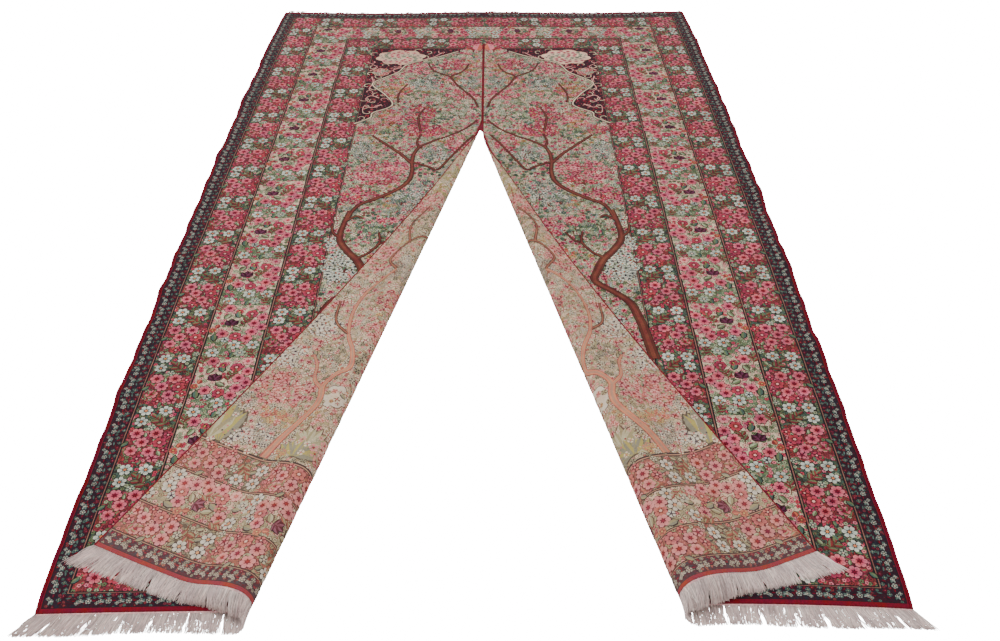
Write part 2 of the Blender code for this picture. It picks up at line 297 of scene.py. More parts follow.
# Band edges from each edge of the rug, in metres: guard, outer stripe, middle stripe,
# inner stripe; the field starts after the last. Periods, phases and ends in metres too;
# the crimson edge and the lines are shares of a band.
bands = {
    "side": (0.043, 0.129, 0.246, 0.335), "far": (0.045, 0.124, 0.220, 0.296),
    "foot": (0.034, 0.099, 0.182, 0.252), "reach": 0.40, "count": 5,
    "sidePeriod": 0.1475, "sidePhase": 0.35, "endPeriod": 0.18, "endStart": 0.112,
    "darkShare": 0.42, "middlePeriod": 0.1686, "coolMiddle": 0.66, "coolHalf": 0.17,
    "ragged": 0.010, "raggedScale": 60, "footCrimson": 0.0045, "farCrimson": 0.012,
    "crimson": 0.20, "crimsonLine": 0.235, "guardLine": 0.048, "stripeLine": 0.036,
    "lineCore": 0.28,
}
# Edge of the corner panels: distance from the slit, then along the rug.
corner = [(0.0, 2.10), (0.08, 2.04), (0.14, 2.00), (0.23, 1.95), (0.26, 1.89), (0.32, 1.83),
          (0.325, 1.80), (0.29, 1.75), (0.26, 1.69), (0.27, 1.66), (0.31, 1.63),
          (0.315, 1.60), (0.355, 1.565)]
cornerCurve = {"low": 1.50, "high": 2.15, "reach": 0.4, "rim": 0.001, "rimHalf": 0.0024,
               "line": 0.0035, "lineHalf": 0.0018}
# Mottled grounds: from each level of the noise on, this dye.
grounds = {
    "mossy": ((0, "dark"), (0.44, "teal"), (0.52, "dark"), (0.58, "leaf"), (0.66, "brick")),
    "ruddy": ((0, "brick"), (0.42, "shadow"), (0.47, "brick"), (0.58, "rose"), (0.64, "leaf")),
    "night": ((0, "navy"), (0.36, "maroon"), (0.44, "plum"), (0.51, "navy"), (0.56, "maroon"),
              (0.66, "brick")),
    "lush": ((0, "leaf"), (0.42, "teal"), (0.47, "leaf"), (0.53, "sage"), (0.60, "brick")),
    "warm": ((0, "cream"), (0.40, "rose"), (0.43, "cream"), (0.55, "leaf"), (0.58, "cream"),
             (0.66, "rose")),
    "meadow": ((0, "leaf"), (0.39, "sand"), (0.44, "sage"), (0.51, "cream"), (0.58, "sage"),
               (0.66, "grey")),
    "panel": ((0, "maroon"), (0.45, "plum"), (0.56, "maroon"), (0.63, "crimson")),
}
# Flowerlets strewn on a ground: how many to a metre, size in metres times that, petals,
# heart and outline.
strewn = {
    "guard": (120, 0.38, ("plum", "teal", "maroon", "navy", "brick"), "navy", "navy"),
    "border": (88, 0.42, ("leaf", "rose", "sage", "brick", "pink"), "maroon", "outline"),
    "middle": (88, 0.44, ("sage", "rose", "sage", "pink", "leaf", "blush"), "maroon",
               "outline"),
    "meadow": (100, 0.42, ("pink", "leaf", "cream", "sage", "blush", "grey", "brick"),
               "brick", "shadow"),
    "panel": (62, 0.42, ("crimson", "maroon", "plum", "brick", "maroon", "plum"), "rose",
              "outline"),
}
design = {"fineScale": 110, "meadowScale": 34, "detail": 3, "twigs": (0.475, 0.51)}
clear = (0, 0, 0, 0)
wool = {"abrashStretch": (2.5, 16, 1), "abrash": 0.16, "mottleScale": 45, "mottle": 0.28,
        "hueDrift": 0.02, "grainScale": 330, "tuftScale": 520, "mottleHeight": 0.35,
        "roughness": (0.82, 0.98)}
flowerlet = {"jitter": 0.8, "waist": 0.68, "petals": 5, "petal": 0.85, "heart": 0.3,
             "outline": 1.08}


# value = 1 + Amount (abrash in slow bands along the rug + mottling + grain of the knots)
def groupWool():
    tree, start, end = newGroup(
        "woolVariation", {"Colour": "c", "Place": "v", "Amount": "f", "Grain": "f"},
        {"Colour": "c", "Height": "f", "Roughness": "f"})
    place = start["Place"]
    links = {"Vector": place, "Scale": wool["abrashStretch"]}
    stretched = put(tree, "Mapping", links).outputs[0]
    abrash = spread(tree, speckle(tree, stretched, 1.0), 0.3, 0.7, -0.5, 0.5)
    mottle = spread(tree, speckle(tree, place, wool["mottleScale"], 3), 0.3, 0.7, -0.5, 0.5)
    grain = spread(tree, speckle(tree, place, wool["grainScale"], 2), 0.25, 0.75, -0.5, 0.5)
    total = calc(tree, "MULTIPLY", abrash, wool["abrash"])
    total = calc(tree, "MULTIPLY_ADD", mottle, wool["mottle"], total)
    total = calc(tree, "MULTIPLY_ADD", grain, start["Grain"], total)
    value = calc(tree, "MULTIPLY_ADD", total, start["Amount"], 1.0)
    hue = calc(tree, "MULTIPLY_ADD", mottle, wool["hueDrift"], 0.5)
    links = {"Hue": hue, "Saturation": 1.0, "Value": value, "Color": start["Colour"]}
    tree.links.new(put(tree, "HueSaturation", links).outputs[0], end["Colour"])
    tuft = speckle(tree, place, wool["tuftScale"], 1)
    height = calc(tree, "MULTIPLY_ADD", mottle, wool["mottleHeight"], tuft)
    tree.links.new(height, end["Height"])
    tree.links.new(spread(tree, grain, -0.5, 0.5, *wool["roughness"]), end["Roughness"])
    return tree


# one flower or leaf to each Voronoi cell: petal edge = size (waist + (1 - waist)
# |sin(petals / 2 angle)|), turned by the cell's own random colour
def groupFlowerlets():
    tree, start, end = newGroup("flowerlets", {"Place": "v", "Scale": "f", "Size": "f"},
                                {"Petal": "f", "Heart": "f", "Outline": "f", "Pick": "f"})
    links = {"Vector": start["Place"], "Scale": start["Scale"], "Randomness": flowerlet["jitter"]}
    cells = put(tree, "TexVoronoi", links, voronoi_dimensions="2D", feature="F1")
    away = put(tree, "VectorMath", {0: start["Place"], 1: cells.outputs["Position"]},
               operation="SUBTRACT").outputs[0]
    xyz = put(tree, "SeparateXYZ", {0: away}).outputs
    picks = put(tree, "SeparateColor", {0: cells.outputs["Color"]}).outputs
    turn = calc(tree, "ARCTAN2", xyz[1], xyz[0])
    turn = calc(tree, "MULTIPLY_ADD", picks[1], 6.28, turn)
    wave = calc(tree, "SINE", calc(tree, "MULTIPLY", turn, flowerlet["petals"] / 2))
    waist = flowerlet["waist"]
    edge = calc(tree, "MULTIPLY_ADD", calc(tree, "ABSOLUTE", wave), 1 - waist, waist)
    edge = calc(tree, "MULTIPLY", edge, start["Size"])
    reach = calc(tree, "DIVIDE", cells.outputs["Distance"], edge)
    for part in ("petal", "heart", "outline"):
        tree.links.new(calc(tree, "LESS_THAN", reach, flowerlet[part]), end[part.capitalize()])
    tree.links.new(picks[0], end["Pick"])
    return tree


flowerlets = groupFlowerlets()
woolVariation = groupWool()


def layGround(tree, noise, name):
    stops = [(level, dye(colour)) for level, colour in grounds[name]]
    return rampOf(tree, noise, stops).outputs[0]


# outline, then petals in one of the dyes, then heart, over what is under them
def layFlowerlets(tree, under, place, name):
    scale, size, petals, heart, line = strewn[name]
    out = useGroup(tree, flowerlets, {"Place": place, "Scale": scale, "Size": size})
    colour = blend(tree, out["Outline"], under, dye(line))
    stops = [(i / len(petals), dye(petal)) for i, petal in enumerate(petals)]
    petal = rampOf(tree, out["Pick"], stops).outputs[0]
    colour = blend(tree, out["Petal"], colour, petal)
    return blend(tree, out["Heart"], colour, dye(heart))


# the panels' edge as a curve of its distance from the slit over the way along the rug
def panelEdge(tree, along):
    low, high, reach = (cornerCurve[key] for key in ("low", "high", "reach"))
    curve = put(tree, "FloatCurve", {"Value": spread(tree, along, low, high)})
    line = curve.mapping.curves[0]
    for across, height in corner[::-1][:-2]:
        line.points.new((height - low) / (high - low), across / reach)
    line.points[0].location = (0.0, 1.0)
    line.points[-1].location = (1.0, 0.0)
    line.points.new((corner[0][1] - low) / (high - low), 0.0)
    curve.mapping.update()
    return calc(tree, "MULTIPLY", curve.outputs[0], reach)


# 1 where value lies within half of middle
def near(tree, value, middle, half):
    away = calc(tree, "ABSOLUTE", calc(tree, "SUBTRACT", value, middle))
    return calc(tree, "LESS_THAN", away, half)


# The whole drawing of the rug in flat cloth metres: band = least of the three distances,
# each stretched so that a whole number is the edge of a stripe.
def groupDesign():
    tree, start, end = newGroup("rugDesign", {"Place": "v"}, {"Colour": "c"})
    place = start["Place"]
    xyz = put(tree, "SeparateXYZ", {0: place}).outputs
    across = calc(tree, "ABSOLUTE", xyz[0])
    along = xyz[1]

    def bandOf(distance, name):
        stops = [(0.0, (0, 0, 0, 1))]
        stops += [(edge / bands["reach"], (k / bands["count"],) * 3 + (1,))
                  for k, edge in enumerate(bands[name], 1)]
        stops.append((1.0, (1, 1, 1, 1)))
        share = calc(tree, "DIVIDE", distance, bands["reach"])
        grey = rampOf(tree, share, stops, "LINEAR").outputs[0]
        return calc(tree, "MULTIPLY", grey, float(bands["count"]))

    side = bandOf(calc(tree, "SUBTRACT", rug["halfWidth"], across), "side")
    far = bandOf(calc(tree, "SUBTRACT", rug["length"], along), "far")
    ends = calc(tree, "MINIMUM", far, bandOf(along, "foot"))
    band = calc(tree, "MINIMUM", side, ends)
    onSide = calc(tree, "LESS_THAN", side, ends)
    rough = speckle(tree, place, bands["raggedScale"], 2)
    wander = calc(tree, "MULTIPLY", spread(tree, rough, 0.3, 0.7, -1.0, 1.0), bands["ragged"])
    sideTurn = calc(tree, "DIVIDE", calc(tree, "ADD", along, wander), bands["sidePeriod"])
    sideTurn = calc(tree, "ADD", sideTurn, bands["sidePhase"])
    endTurn = calc(tree, "ADD", calc(tree, "SUBTRACT", across, bands["endStart"]), wander)
    endTurn = calc(tree, "DIVIDE", endTurn, bands["endPeriod"])
    turn = put(tree, "Mix", {0: onSide, 2: endTurn, 3: sideTurn}).outputs[0]
    isDark = calc(tree, "LESS_THAN", calc(tree, "FRACT", turn), bands["darkShare"])
    fine = speckle(tree, place, design["fineScale"], design["detail"])
    guard = layFlowerlets(tree, layGround(tree, fine, "night"), place, "guard")
    border = blend(tree, isDark, layGround(tree, fine, "ruddy"), layGround(tree, fine, "mossy"))
    border = layFlowerlets(tree, border, place, "border")
    middleTurn = calc(tree, "FRACT", calc(tree, "DIVIDE", along, bands["middlePeriod"]))
    isCool = calc(tree, "COMPARE", middleTurn, bands["coolMiddle"], bands["coolHalf"])
    middle = blend(tree, isCool, layGround(tree, fine, "warm"), layGround(tree, fine, "lush"))
    middle = layFlowerlets(tree, middle, place, "middle")
    broad = speckle(tree, place, design["meadowScale"], design["detail"])
    field = layGround(tree, broad, "meadow")
    low, high = design["twigs"]
    twigs = rampOf(tree, fine, [(0, clear), (low, dye("shadow")), (high, clear)])
    field = blend(tree, twigs.outputs[1], field, twigs.outputs[0])
    field = layFlowerlets(tree, field, place, "meadow")
    beyond = calc(tree, "SUBTRACT", across, panelEdge(tree, along))
    panel = layFlowerlets(tree, layGround(tree, fine, "panel"), place, "panel")
    field = blend(tree, calc(tree, "GREATER_THAN", beyond, 0.0), field, panel)
    rim = near(tree, beyond, -cornerCurve["rim"], cornerCurve["rimHalf"])
    field = blend(tree, rim, field, dye("cream"))
    rim = near(tree, beyond, cornerCurve["line"], cornerCurve["lineHalf"])
    field = blend(tree, rim, field, dye("outline"))
    colour = guard
    for edge, stripe in enumerate((border, middle, border, field), 1):
        colour = blend(tree, calc(tree, "GREATER_THAN", band, float(edge)), colour, stripe)
    fromEdge = calc(tree, "SUBTRACT", calc(tree, "FRACT", calc(tree, "ADD", band, 0.5)), 0.5)
    fromEdge = calc(tree, "ABSOLUTE", fromEdge)
    guardEdge = calc(tree, "LESS_THAN", band, 1.5)
    half = spread(tree, guardEdge, 0.0, 1.0, bands["stripeLine"], bands["guardLine"])
    hasLine = calc(tree, "COMPARE", band, 2.5, 2.0)
    for share, name in ((1.0, "outline"), (bands["lineCore"], "clay")):
        onLine = calc(tree, "LESS_THAN", fromEdge, calc(tree, "MULTIPLY", half, share))
        colour = blend(tree, calc(tree, "MULTIPLY", onLine, hasLine), colour, dye(name))
    for edge, name in ((bands["crimsonLine"], "outline"), (bands["crimson"], "crimson")):
        colour = blend(tree, calc(tree, "LESS_THAN", band, edge), colour, dye(name))
    farHem = calc(tree, "GREATER_THAN", along, rug["length"] - bands["farCrimson"])
    hem = calc(tree, "MAXIMUM", calc(tree, "LESS_THAN", along, bands["footCrimson"]), farHem)
    tree.links.new(blend(tree, hem, colour, dye("crimson")), end["Colour"])
    return tree


rugDesign = groupDesign()
# Each finish: whether it wears the drawing, how far the reverse pales where it is light and
# where it is dark, grain of the knots, strength and depth in metres of its relief, sheen.
finishes = {
    "pileFace": {"design": True, "pale": 0.0, "grain": 0.60, "bump": 0.55, "depth": 0.0011,
                 "sheen": 0.05},
    "reverseFace": {"design": True, "pale": 0.36, "least": 0.05, "grain": 0.46, "bump": 0.4,
                    "depth": 0.0007, "sheen": 0.0},
    "inlaidPile": {"design": False, "pale": 0.0, "grain": 0.50, "bump": 0.5, "depth": 0.0011,
                   "sheen": 0.05},
    "inlaidReverse": {"design": False, "pale": 0.30, "least": 0.04, "grain": 0.42,
                      "bump": 0.4, "depth": 0.0007, "sheen": 0.0},
    "wrappedYarn": {"design": False, "pale": 0.0, "grain": 0.30, "bump": 0.4,
                    "depth": 0.0006, "sheen": 0.05},
    "cottonWarp": {"design": False, "pale": 0.0, "grain": 0.16, "bump": 0.3,
                   "depth": 0.0004, "sheen": 0.05},
}
weft = {"lighter": 0.76, "saturation": 1.05, "pitch": 0.0024, "pitchAcross": 0.0021,
        "ribs": 0.20 / 3, "value": 0.985, "height": 0.3, "dark": 0.01, "light": 0.12}
matt = {"specular": 0.12, "sheenRoughness": 0.5}


# Reverse: paled towards the warp, and given painted shade of the ribs = sin(rows) + sin(knots) / 2,
# darker where their relief dips
def paleReverse(tree, look, place, colour, height):
    bright = put(tree, "RGBToBW", {"Color": colour}).outputs[0]
    share = spread(tree, bright, weft["dark"], weft["light"], look["least"], look["pale"])
    colour = put(tree, "Gamma", {"Color": colour, "Gamma": weft["lighter"]}).outputs[0]
    colour = blend(tree, share, colour, dye("warp"))
    xyz = put(tree, "SeparateXYZ", {0: place}).outputs
    rows = calc(tree, "SINE", calc(tree, "MULTIPLY", xyz[1], 2 * np.pi / weft["pitch"]))
    knots = calc(tree, "SINE", calc(tree, "MULTIPLY", xyz[0], 2 * np.pi / weft["pitchAcross"]))
    ribs = calc(tree, "MULTIPLY_ADD", knots, 0.5, rows)
    # painted shade: the colour's value rises and falls with the ribs' relief
    shade = calc(tree, "MULTIPLY_ADD", ribs, weft["ribs"], weft["value"])
    links = {"Saturation": weft["saturation"], "Value": shade, "Color": colour}
    colour = put(tree, "HueSaturation", links).outputs[0]
    return colour, calc(tree, "MULTIPLY_ADD", ribs, weft["height"], height)


def makeWool(name):
    look = finishes[name]
    paint = bpy.data.materials.new(name)
    paint.use_nodes = True
    tree = paint.node_tree
    shader = tree.nodes["Principled BSDF"]
    place = put(tree, "UVMap", None, uv_map="flatCloth").outputs[0]
    if look["design"]:
        colour = useGroup(tree, rugDesign, {"Place": place})["Colour"]
    else:
        colour = put(tree, "Attribute", None, attribute_name="wool").outputs["Color"]
    links = {"Colour": colour, "Place": place, "Amount": 1.0, "Grain": look["grain"]}
    varied = useGroup(tree, woolVariation, links)
    colour, height = varied["Colour"], varied["Height"]
    if look["pale"] > 0:
        colour, height = paleReverse(tree, look, place, colour, height)
    tree.links.new(colour, shader.inputs["Base Color"])
    tree.links.new(varied["Roughness"], shader.inputs["Roughness"])
    shader.inputs["Specular IOR Level"].default_value = matt["specular"]
    shader.inputs["Sheen Weight"].default_value = look["sheen"]
    shader.inputs["Sheen Roughness"].default_value = matt["sheenRoughness"]
    links = {"Height": height, "Strength": look["bump"], "Distance": look["depth"]}
    tree.links.new(put(tree, "Bump", links).outputs[0], shader.inputs["Normal"])
    return paint


paints = {name: makeWool(name) for name in finishes}
print("materials ready", len(paints))


# points (n, 3), faces (m, k); uv and colour are one row to each point
def makePiece(name, points, faces, materials, uv, colour=None, smooth=True):
    faces = np.asarray(faces, np.int32)
    mesh = bpy.data.meshes.new(name)
    mesh.vertices.add(len(points))
    mesh.vertices.foreach_set("co", np.asarray(points, np.float32).ravel())
    mesh.loops.add(faces.size)
    mesh.loops.foreach_set("vertex_index", faces.ravel())
    mesh.polygons.add(len(faces))
    mesh.polygons.foreach_set("loop_start", np.arange(0, faces.size, faces.shape[1], dtype=np.int32))
    for paint in materials:
        mesh.materials.append(paint)
    mesh.update(calc_edges=True)
    mesh.polygons.foreach_set("use_smooth", np.full(len(faces), smooth))
    layer = mesh.uv_layers.new(name="flatCloth")
    layer.data.foreach_set("uv", np.asarray(uv, np.float32)[faces.ravel()].ravel())
    if colour is not None:
        attribute = mesh.color_attributes.new("wool", "FLOAT_COLOR", "POINT")
        attribute.data.foreach_set("color", np.asarray(colour, np.float32).ravel())
    piece = bpy.data.objects.new(name, mesh)
    bpy.context.collection.objects.link(piece)
    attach(piece, "root")
    return piece


cloth = {
    "stretches": ((0.30, 16), (1.36, 48), (1.61, 60), (2.10, 24), (2.36, 14)),
    "outerSteps": 24, "rollSteps": 20, "settleSteps": 12, "restSteps": 8,
    "leastStrip": 0.012, "slitMargin": 1.08, "fanOut": 0.35, "islandScale": 2.84,
}


def clothRows():
    rows = [np.zeros(1)]
    for end, steps in cloth["stretches"]:
        rows.append(np.linspace(rows[-1][-1], end, steps + 1)[1:])
    return np.concatenate(rows)


# even steps to the fold line, equal angles round the fold, then the flap to the slit edge
def clothColumns(side, along):
    mark = np.full_like(along, side)
    apex, footX = pick("apexY", mark), pick("footX", mark)
    slitEdge = slitTake(mark, along) + 1.5 * rug["pieceGap"] + rug["slitBinding"]
    sideEdge = rug["halfWidth"] - rug["sideBinding"] - rug["pieceGap"]
    least = slitEdge + cloth["leastStrip"] + cloth["fanOut"] * np.clip(along - apex, 0, None)
    begin = np.maximum(footX * (1 - along / apex), least)
    grow = np.clip(apex - along, 0, None) / np.hypot(footX, apex)
    radius = apexRadius + (pick("footRadius", mark) - apexRadius) * np.clip(grow, 0, 1.1)
    lean = np.hypot(footX, apex) / apex
    roll = (lean * radius)[:, None] * np.linspace(0, np.pi, cloth["rollSteps"] + 1)
    settle = fold["settleStart"] + fold["settleRatio"] * (2 * radius - laidHeight)
    down = (lean * settle)[:, None] * np.linspace(0, 1, cloth["settleSteps"] + 1)[1:]
    wanted = np.concatenate([roll, roll[:, -1:] + down], axis=1)
    room = begin - slitEdge
    full = np.maximum(room, cloth["slitMargin"] * wanted[:, -1])
    rest = np.linspace(wanted[:, -1], full, cloth["restSteps"] + 1, axis=1)[:, 1:]
    wanted = np.concatenate([wanted, rest], axis=1)
    inner = begin[:, None] - wanted * (room / full)[:, None]
    outer = np.linspace(np.full_like(begin, sideEdge), begin, cloth["outerSteps"] + 1, axis=1)
    return side * np.concatenate([outer[:, :-1], inner], axis=1)


def makeCloth():
    rows = clothRows()
    across = np.concatenate([clothColumns(-1.0, rows), clothColumns(1.0, rows)[:, ::-1]], axis=1)
    along = rows[:, None] - endShift(across, np.broadcast_to(rows[:, None], across.shape))
    count = across.size
    points = np.concatenate([layCloth(across, along, rise).reshape(-1, 3)
                             for rise in (rug["thickness"], 0.0)])
    present = np.ones((len(rows) - 1, across.shape[1] - 1), bool)
    present[rows[:-1] < rug["slitTop"] - 1e-6, across.shape[1] // 2 - 1] = False
    index = np.arange(count).reshape(across.shape)
    top = np.stack([index[:-1, :-1], index[:-1, 1:], index[1:, 1:], index[1:, :-1]], axis=-1)[present]
    under = top[:, ::-1] + count
    cell = np.pad(present, 1)
    left = cell[1:-1, 1:] & ~cell[1:-1, :-1]
    right = cell[1:-1, :-1] & ~cell[1:-1, 1:]
    near = cell[1:, 1:-1] & ~cell[:-1, 1:-1]
    away = cell[:-1, 1:-1] & ~cell[1:, 1:-1]
    upright = np.stack([index[:-1], index[1:]], axis=-1)
    level = np.stack([index[:, :-1], index[:, 1:]], axis=-1)

    def wall(edge, swap):
        a, b = (edge[:, 1], edge[:, 0]) if swap else (edge[:, 0], edge[:, 1])
        return np.stack([a, b, b + count, a + count], axis=-1)

    walls = np.concatenate([wall(upright[left], False), wall(upright[right], True),
                            wall(level[near], True), wall(level[away], False)])
    faces = np.concatenate([top, under, walls])
    flat = np.stack([across, rows[:, None] + 0 * across], axis=-1).reshape(-1, 2)
    piece = makePiece("rugCloth", points, faces, [paints["pileFace"], paints["reverseFace"]],
                      np.concatenate([flat, flat]))
    side = np.zeros(len(faces), np.int32)
    side[len(top):len(top) + len(under)] = 1
    piece.data.polygons.foreach_set("material_index", side)
    piece.data.set_sharp_from_angle(angle=np.radians(50))
    atlas = (flat + (0.70, 0.05)) / cloth["islandScale"]
    loops = faces.ravel() % count
    shift = np.repeat(side == 1, 4)[:, None] * np.array([0.5, 0.0])
    bake = piece.data.uv_layers.new(name="OFBake")
    bake.data.foreach_set("uv", (atlas[loops] + shift).astype(np.float32).ravel())
    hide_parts("rug_body")
    return piece


rugCloth = makeCloth()
print("cloth", len(rugCloth.data.polygons), "faces")

yarn = {"sides": 6, "step": 0.0014, "pitch": 0.0033, "swell": 0.05, "proud": 0.0005,
        "close": 0.02, "uvTurn": 0.004, "tint": 0.12, "tintRange": (0.6, 1.4)}


# quads of a tube whose rings are the rows of an array of this shape
def ringFaces(shape):
    index = np.arange(shape[0] * shape[1]).reshape(shape)
    after = np.roll(index, -1, axis=1)
    return np.stack([index[:-1], after[:-1], after[1:], index[1:]], axis=-1).reshape(-1, 4)


# ring = centre + (width cos a, height sin a) (1 + swell cos(2 pi s / pitch - a)), so that
# each turn of yarn lies aslant; the first and last rings close the ends
def makeBinding(name, node, centre, width, end, shade):
    along = np.linspace(0.0, end, int(end / yarn["step"]))
    along = np.concatenate([along[:1], along, along[-1:]])
    close = np.ones(len(along))
    close[[0, -1]] = yarn["close"]
    angle = 2 * np.pi * np.arange(yarn["sides"]) / yarn["sides"]
    wrap = 1 + yarn["swell"] * np.cos(2 * np.pi * along[:, None] / yarn["pitch"] - angle)
    size = wrap * close[:, None]
    across = centre(along)[:, None]
    side = np.sign(across)
    half = width / 2 + yarn["proud"]
    tall = rug["thickness"] / 2 + yarn["proud"]
    across = across + side * half * np.cos(angle) * size
    rise = rug["thickness"] / 2 + tall * np.sin(angle) * size
    rows = np.broadcast_to(along[:, None], across.shape)
    points = layCloth(across, rows - endShift(across, rows), rise)
    points[..., 2] = np.maximum(points[..., 2], 0.0)
    faces = ringFaces(across.shape)
    if side[0, 0] > 0:
        faces = faces[:, ::-1]
    turn = np.broadcast_to(angle * yarn["uvTurn"], across.shape)
    uv = np.stack([turn + across[0, 0], rows], axis=-1).reshape(-1, 2)
    tint = np.clip(1 + yarn["tint"] * rng.normal(size=len(along)), *yarn["tintRange"])
    colour = dye(shade) * np.broadcast_to(tint[:, None, None], across.shape + (1,))
    piece = makePiece(name, points.reshape(-1, 3), faces, [paints["wrappedYarn"]], uv,
                      colour.reshape(-1, 4))
    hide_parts(node)
    return piece


def slitCentre(side):
    def centre(along):
        mark = np.full_like(along, side)
        return side * (slitTake(mark, along) + rug["pieceGap"] / 2 + rug["slitBinding"] / 2)
    return centre


for word, side in (("Left", -1.0), ("Right", 1.0)):
    middle = side * (rug["halfWidth"] - rug["sideBinding"] / 2)
    makeBinding(
        "sideBinding" + word, "binding_side_" + word.lower(),
        lambda along, middle=middle: np.full_like(along, middle),
        rug["sideBinding"], rug["length"], "crimson")
    makeBinding(
        "slitBinding" + word, "binding_slit_" + word.lower(), slitCentre(side),
        rug["slitBinding"], rug["slitTop"] - rug["pieceGap"], "slit")

# Metres and shares: "tuft" is the tufts' width, "wobble" how unevenly they part, "overlap"
# how far a warp end starts inside the cloth, "shade" the least brightness and its range.
fringe = {"stations": 6, "sides": 3, "thick": 0.00074, "tip": 0.6, "margin": 0.0005,
          "overlap": 0.001, "wobble": 0.35, "rest": 0.0012, "shade": (0.62, 0.54),
          "shadeAlong": (0.90, 1.05)}
footFringe = {
    "count": 2400, "length": (0.034, 0.043), "flapLength": (0.034, 0.044), "tuft": 0.017,
    "tuftShare": 0.45, "gather": 0.10, "lean": 0.16, "tuftLean": 0.6, "ownLean": 0.35,
    "splay": 0.75, "splayFrom": 0.36, "curl": 0.0022, "least": 0.0006, "rise": (0.0008, 0.0018),
    "level": 0.004, "high": 0.03, "pullIn": 0.30, "sweep": 0.8, "sweepTo": 0.12,
    "droop": 0.72, "restSpread": 0.0022,
}
farFringe = {
    "count": 1500, "length": (0.010, 0.025), "longest": 0.042, "longFrom": -0.60,
    "longTo": -0.685, "tuft": 0.011, "tuftShare": 0.7, "gather": 0.5, "tuftLean": 0.3,
    "ownLean": 0.2, "widest": 0.70, "restSpread": 0.002,
}


# three-sided tubes round the paths, radius = thick (1 to tip along the path), closed ends
def tubes(paths, thick, tip):
    count, stations = paths.shape[:2]
    sides = fringe["sides"]
    run = np.gradient(paths, axis=1)
    run /= np.linalg.norm(run, axis=-1, keepdims=True) + 1e-12
    first = np.cross(run, np.array([0.05, 0.02, 1.0]))
    first /= np.linalg.norm(first, axis=-1, keepdims=True) + 1e-12
    second = np.cross(first, run)
    angle = 2 * np.pi * np.arange(sides) / sides
    width = thick * np.linspace(1, tip, stations)[None, :, None, None]
    ring = (np.cos(angle)[:, None] * first[:, :, None, :]
            + np.sin(angle)[:, None] * second[:, :, None, :])
    points = paths[:, :, None, :] + width * ring
    index = np.arange(stations * sides).reshape(stations, sides)
    after = np.roll(index, -1, axis=1)
    wall = np.concatenate([
        np.stack([index[:-1], index[1:], after[1:]], axis=-1).reshape(-1, 3),
        np.stack([index[:-1], after[1:], after[:-1]], axis=-1).reshape(-1, 3),
        [index[0]], [index[-1][::-1]]])
    faces = (wall[None] + (np.arange(count) * stations * sides)[:, None, None]).reshape(-1, 3)
    return points.reshape(-1, 3), faces


# each warp end between the two cotton dyes, a little lighter towards its tip
def strandColour(count, stations):
    least, reach = fringe["shade"]
    shade = least + reach * rng.random(count)[:, None] * np.ones(stations)
    shade = shade * np.linspace(*fringe["shadeAlong"], stations)
    warm = rng.random((count, 1, 1))
    tone = dye("cotton") * (1 - warm) + dye("lint") * warm
    colour = tone * shade[..., None]
    return np.repeat(colour.reshape(-1, 4), fringe["sides"], axis=0)


# u = where the warp end leaves the cloth, v = way along it
def strandUv(root, stations, length):
    way = np.linspace(0, 1, stations) * length[:, None]
    flat = np.stack([np.broadcast_to(root[:, None], way.shape), way], axis=-1)
    return np.repeat(flat.reshape(-1, 2), fringe["sides"], axis=0)


def fringePiece(name, paths, root, length):
    points, faces = tubes(paths, fringe["thick"], fringe["tip"])
    uv = strandUv(root, fringe["stations"], length)
    colour = strandColour(len(root), fringe["stations"])
    return makePiece(name, points, faces, [paints["cottonWarp"]], uv, colour)


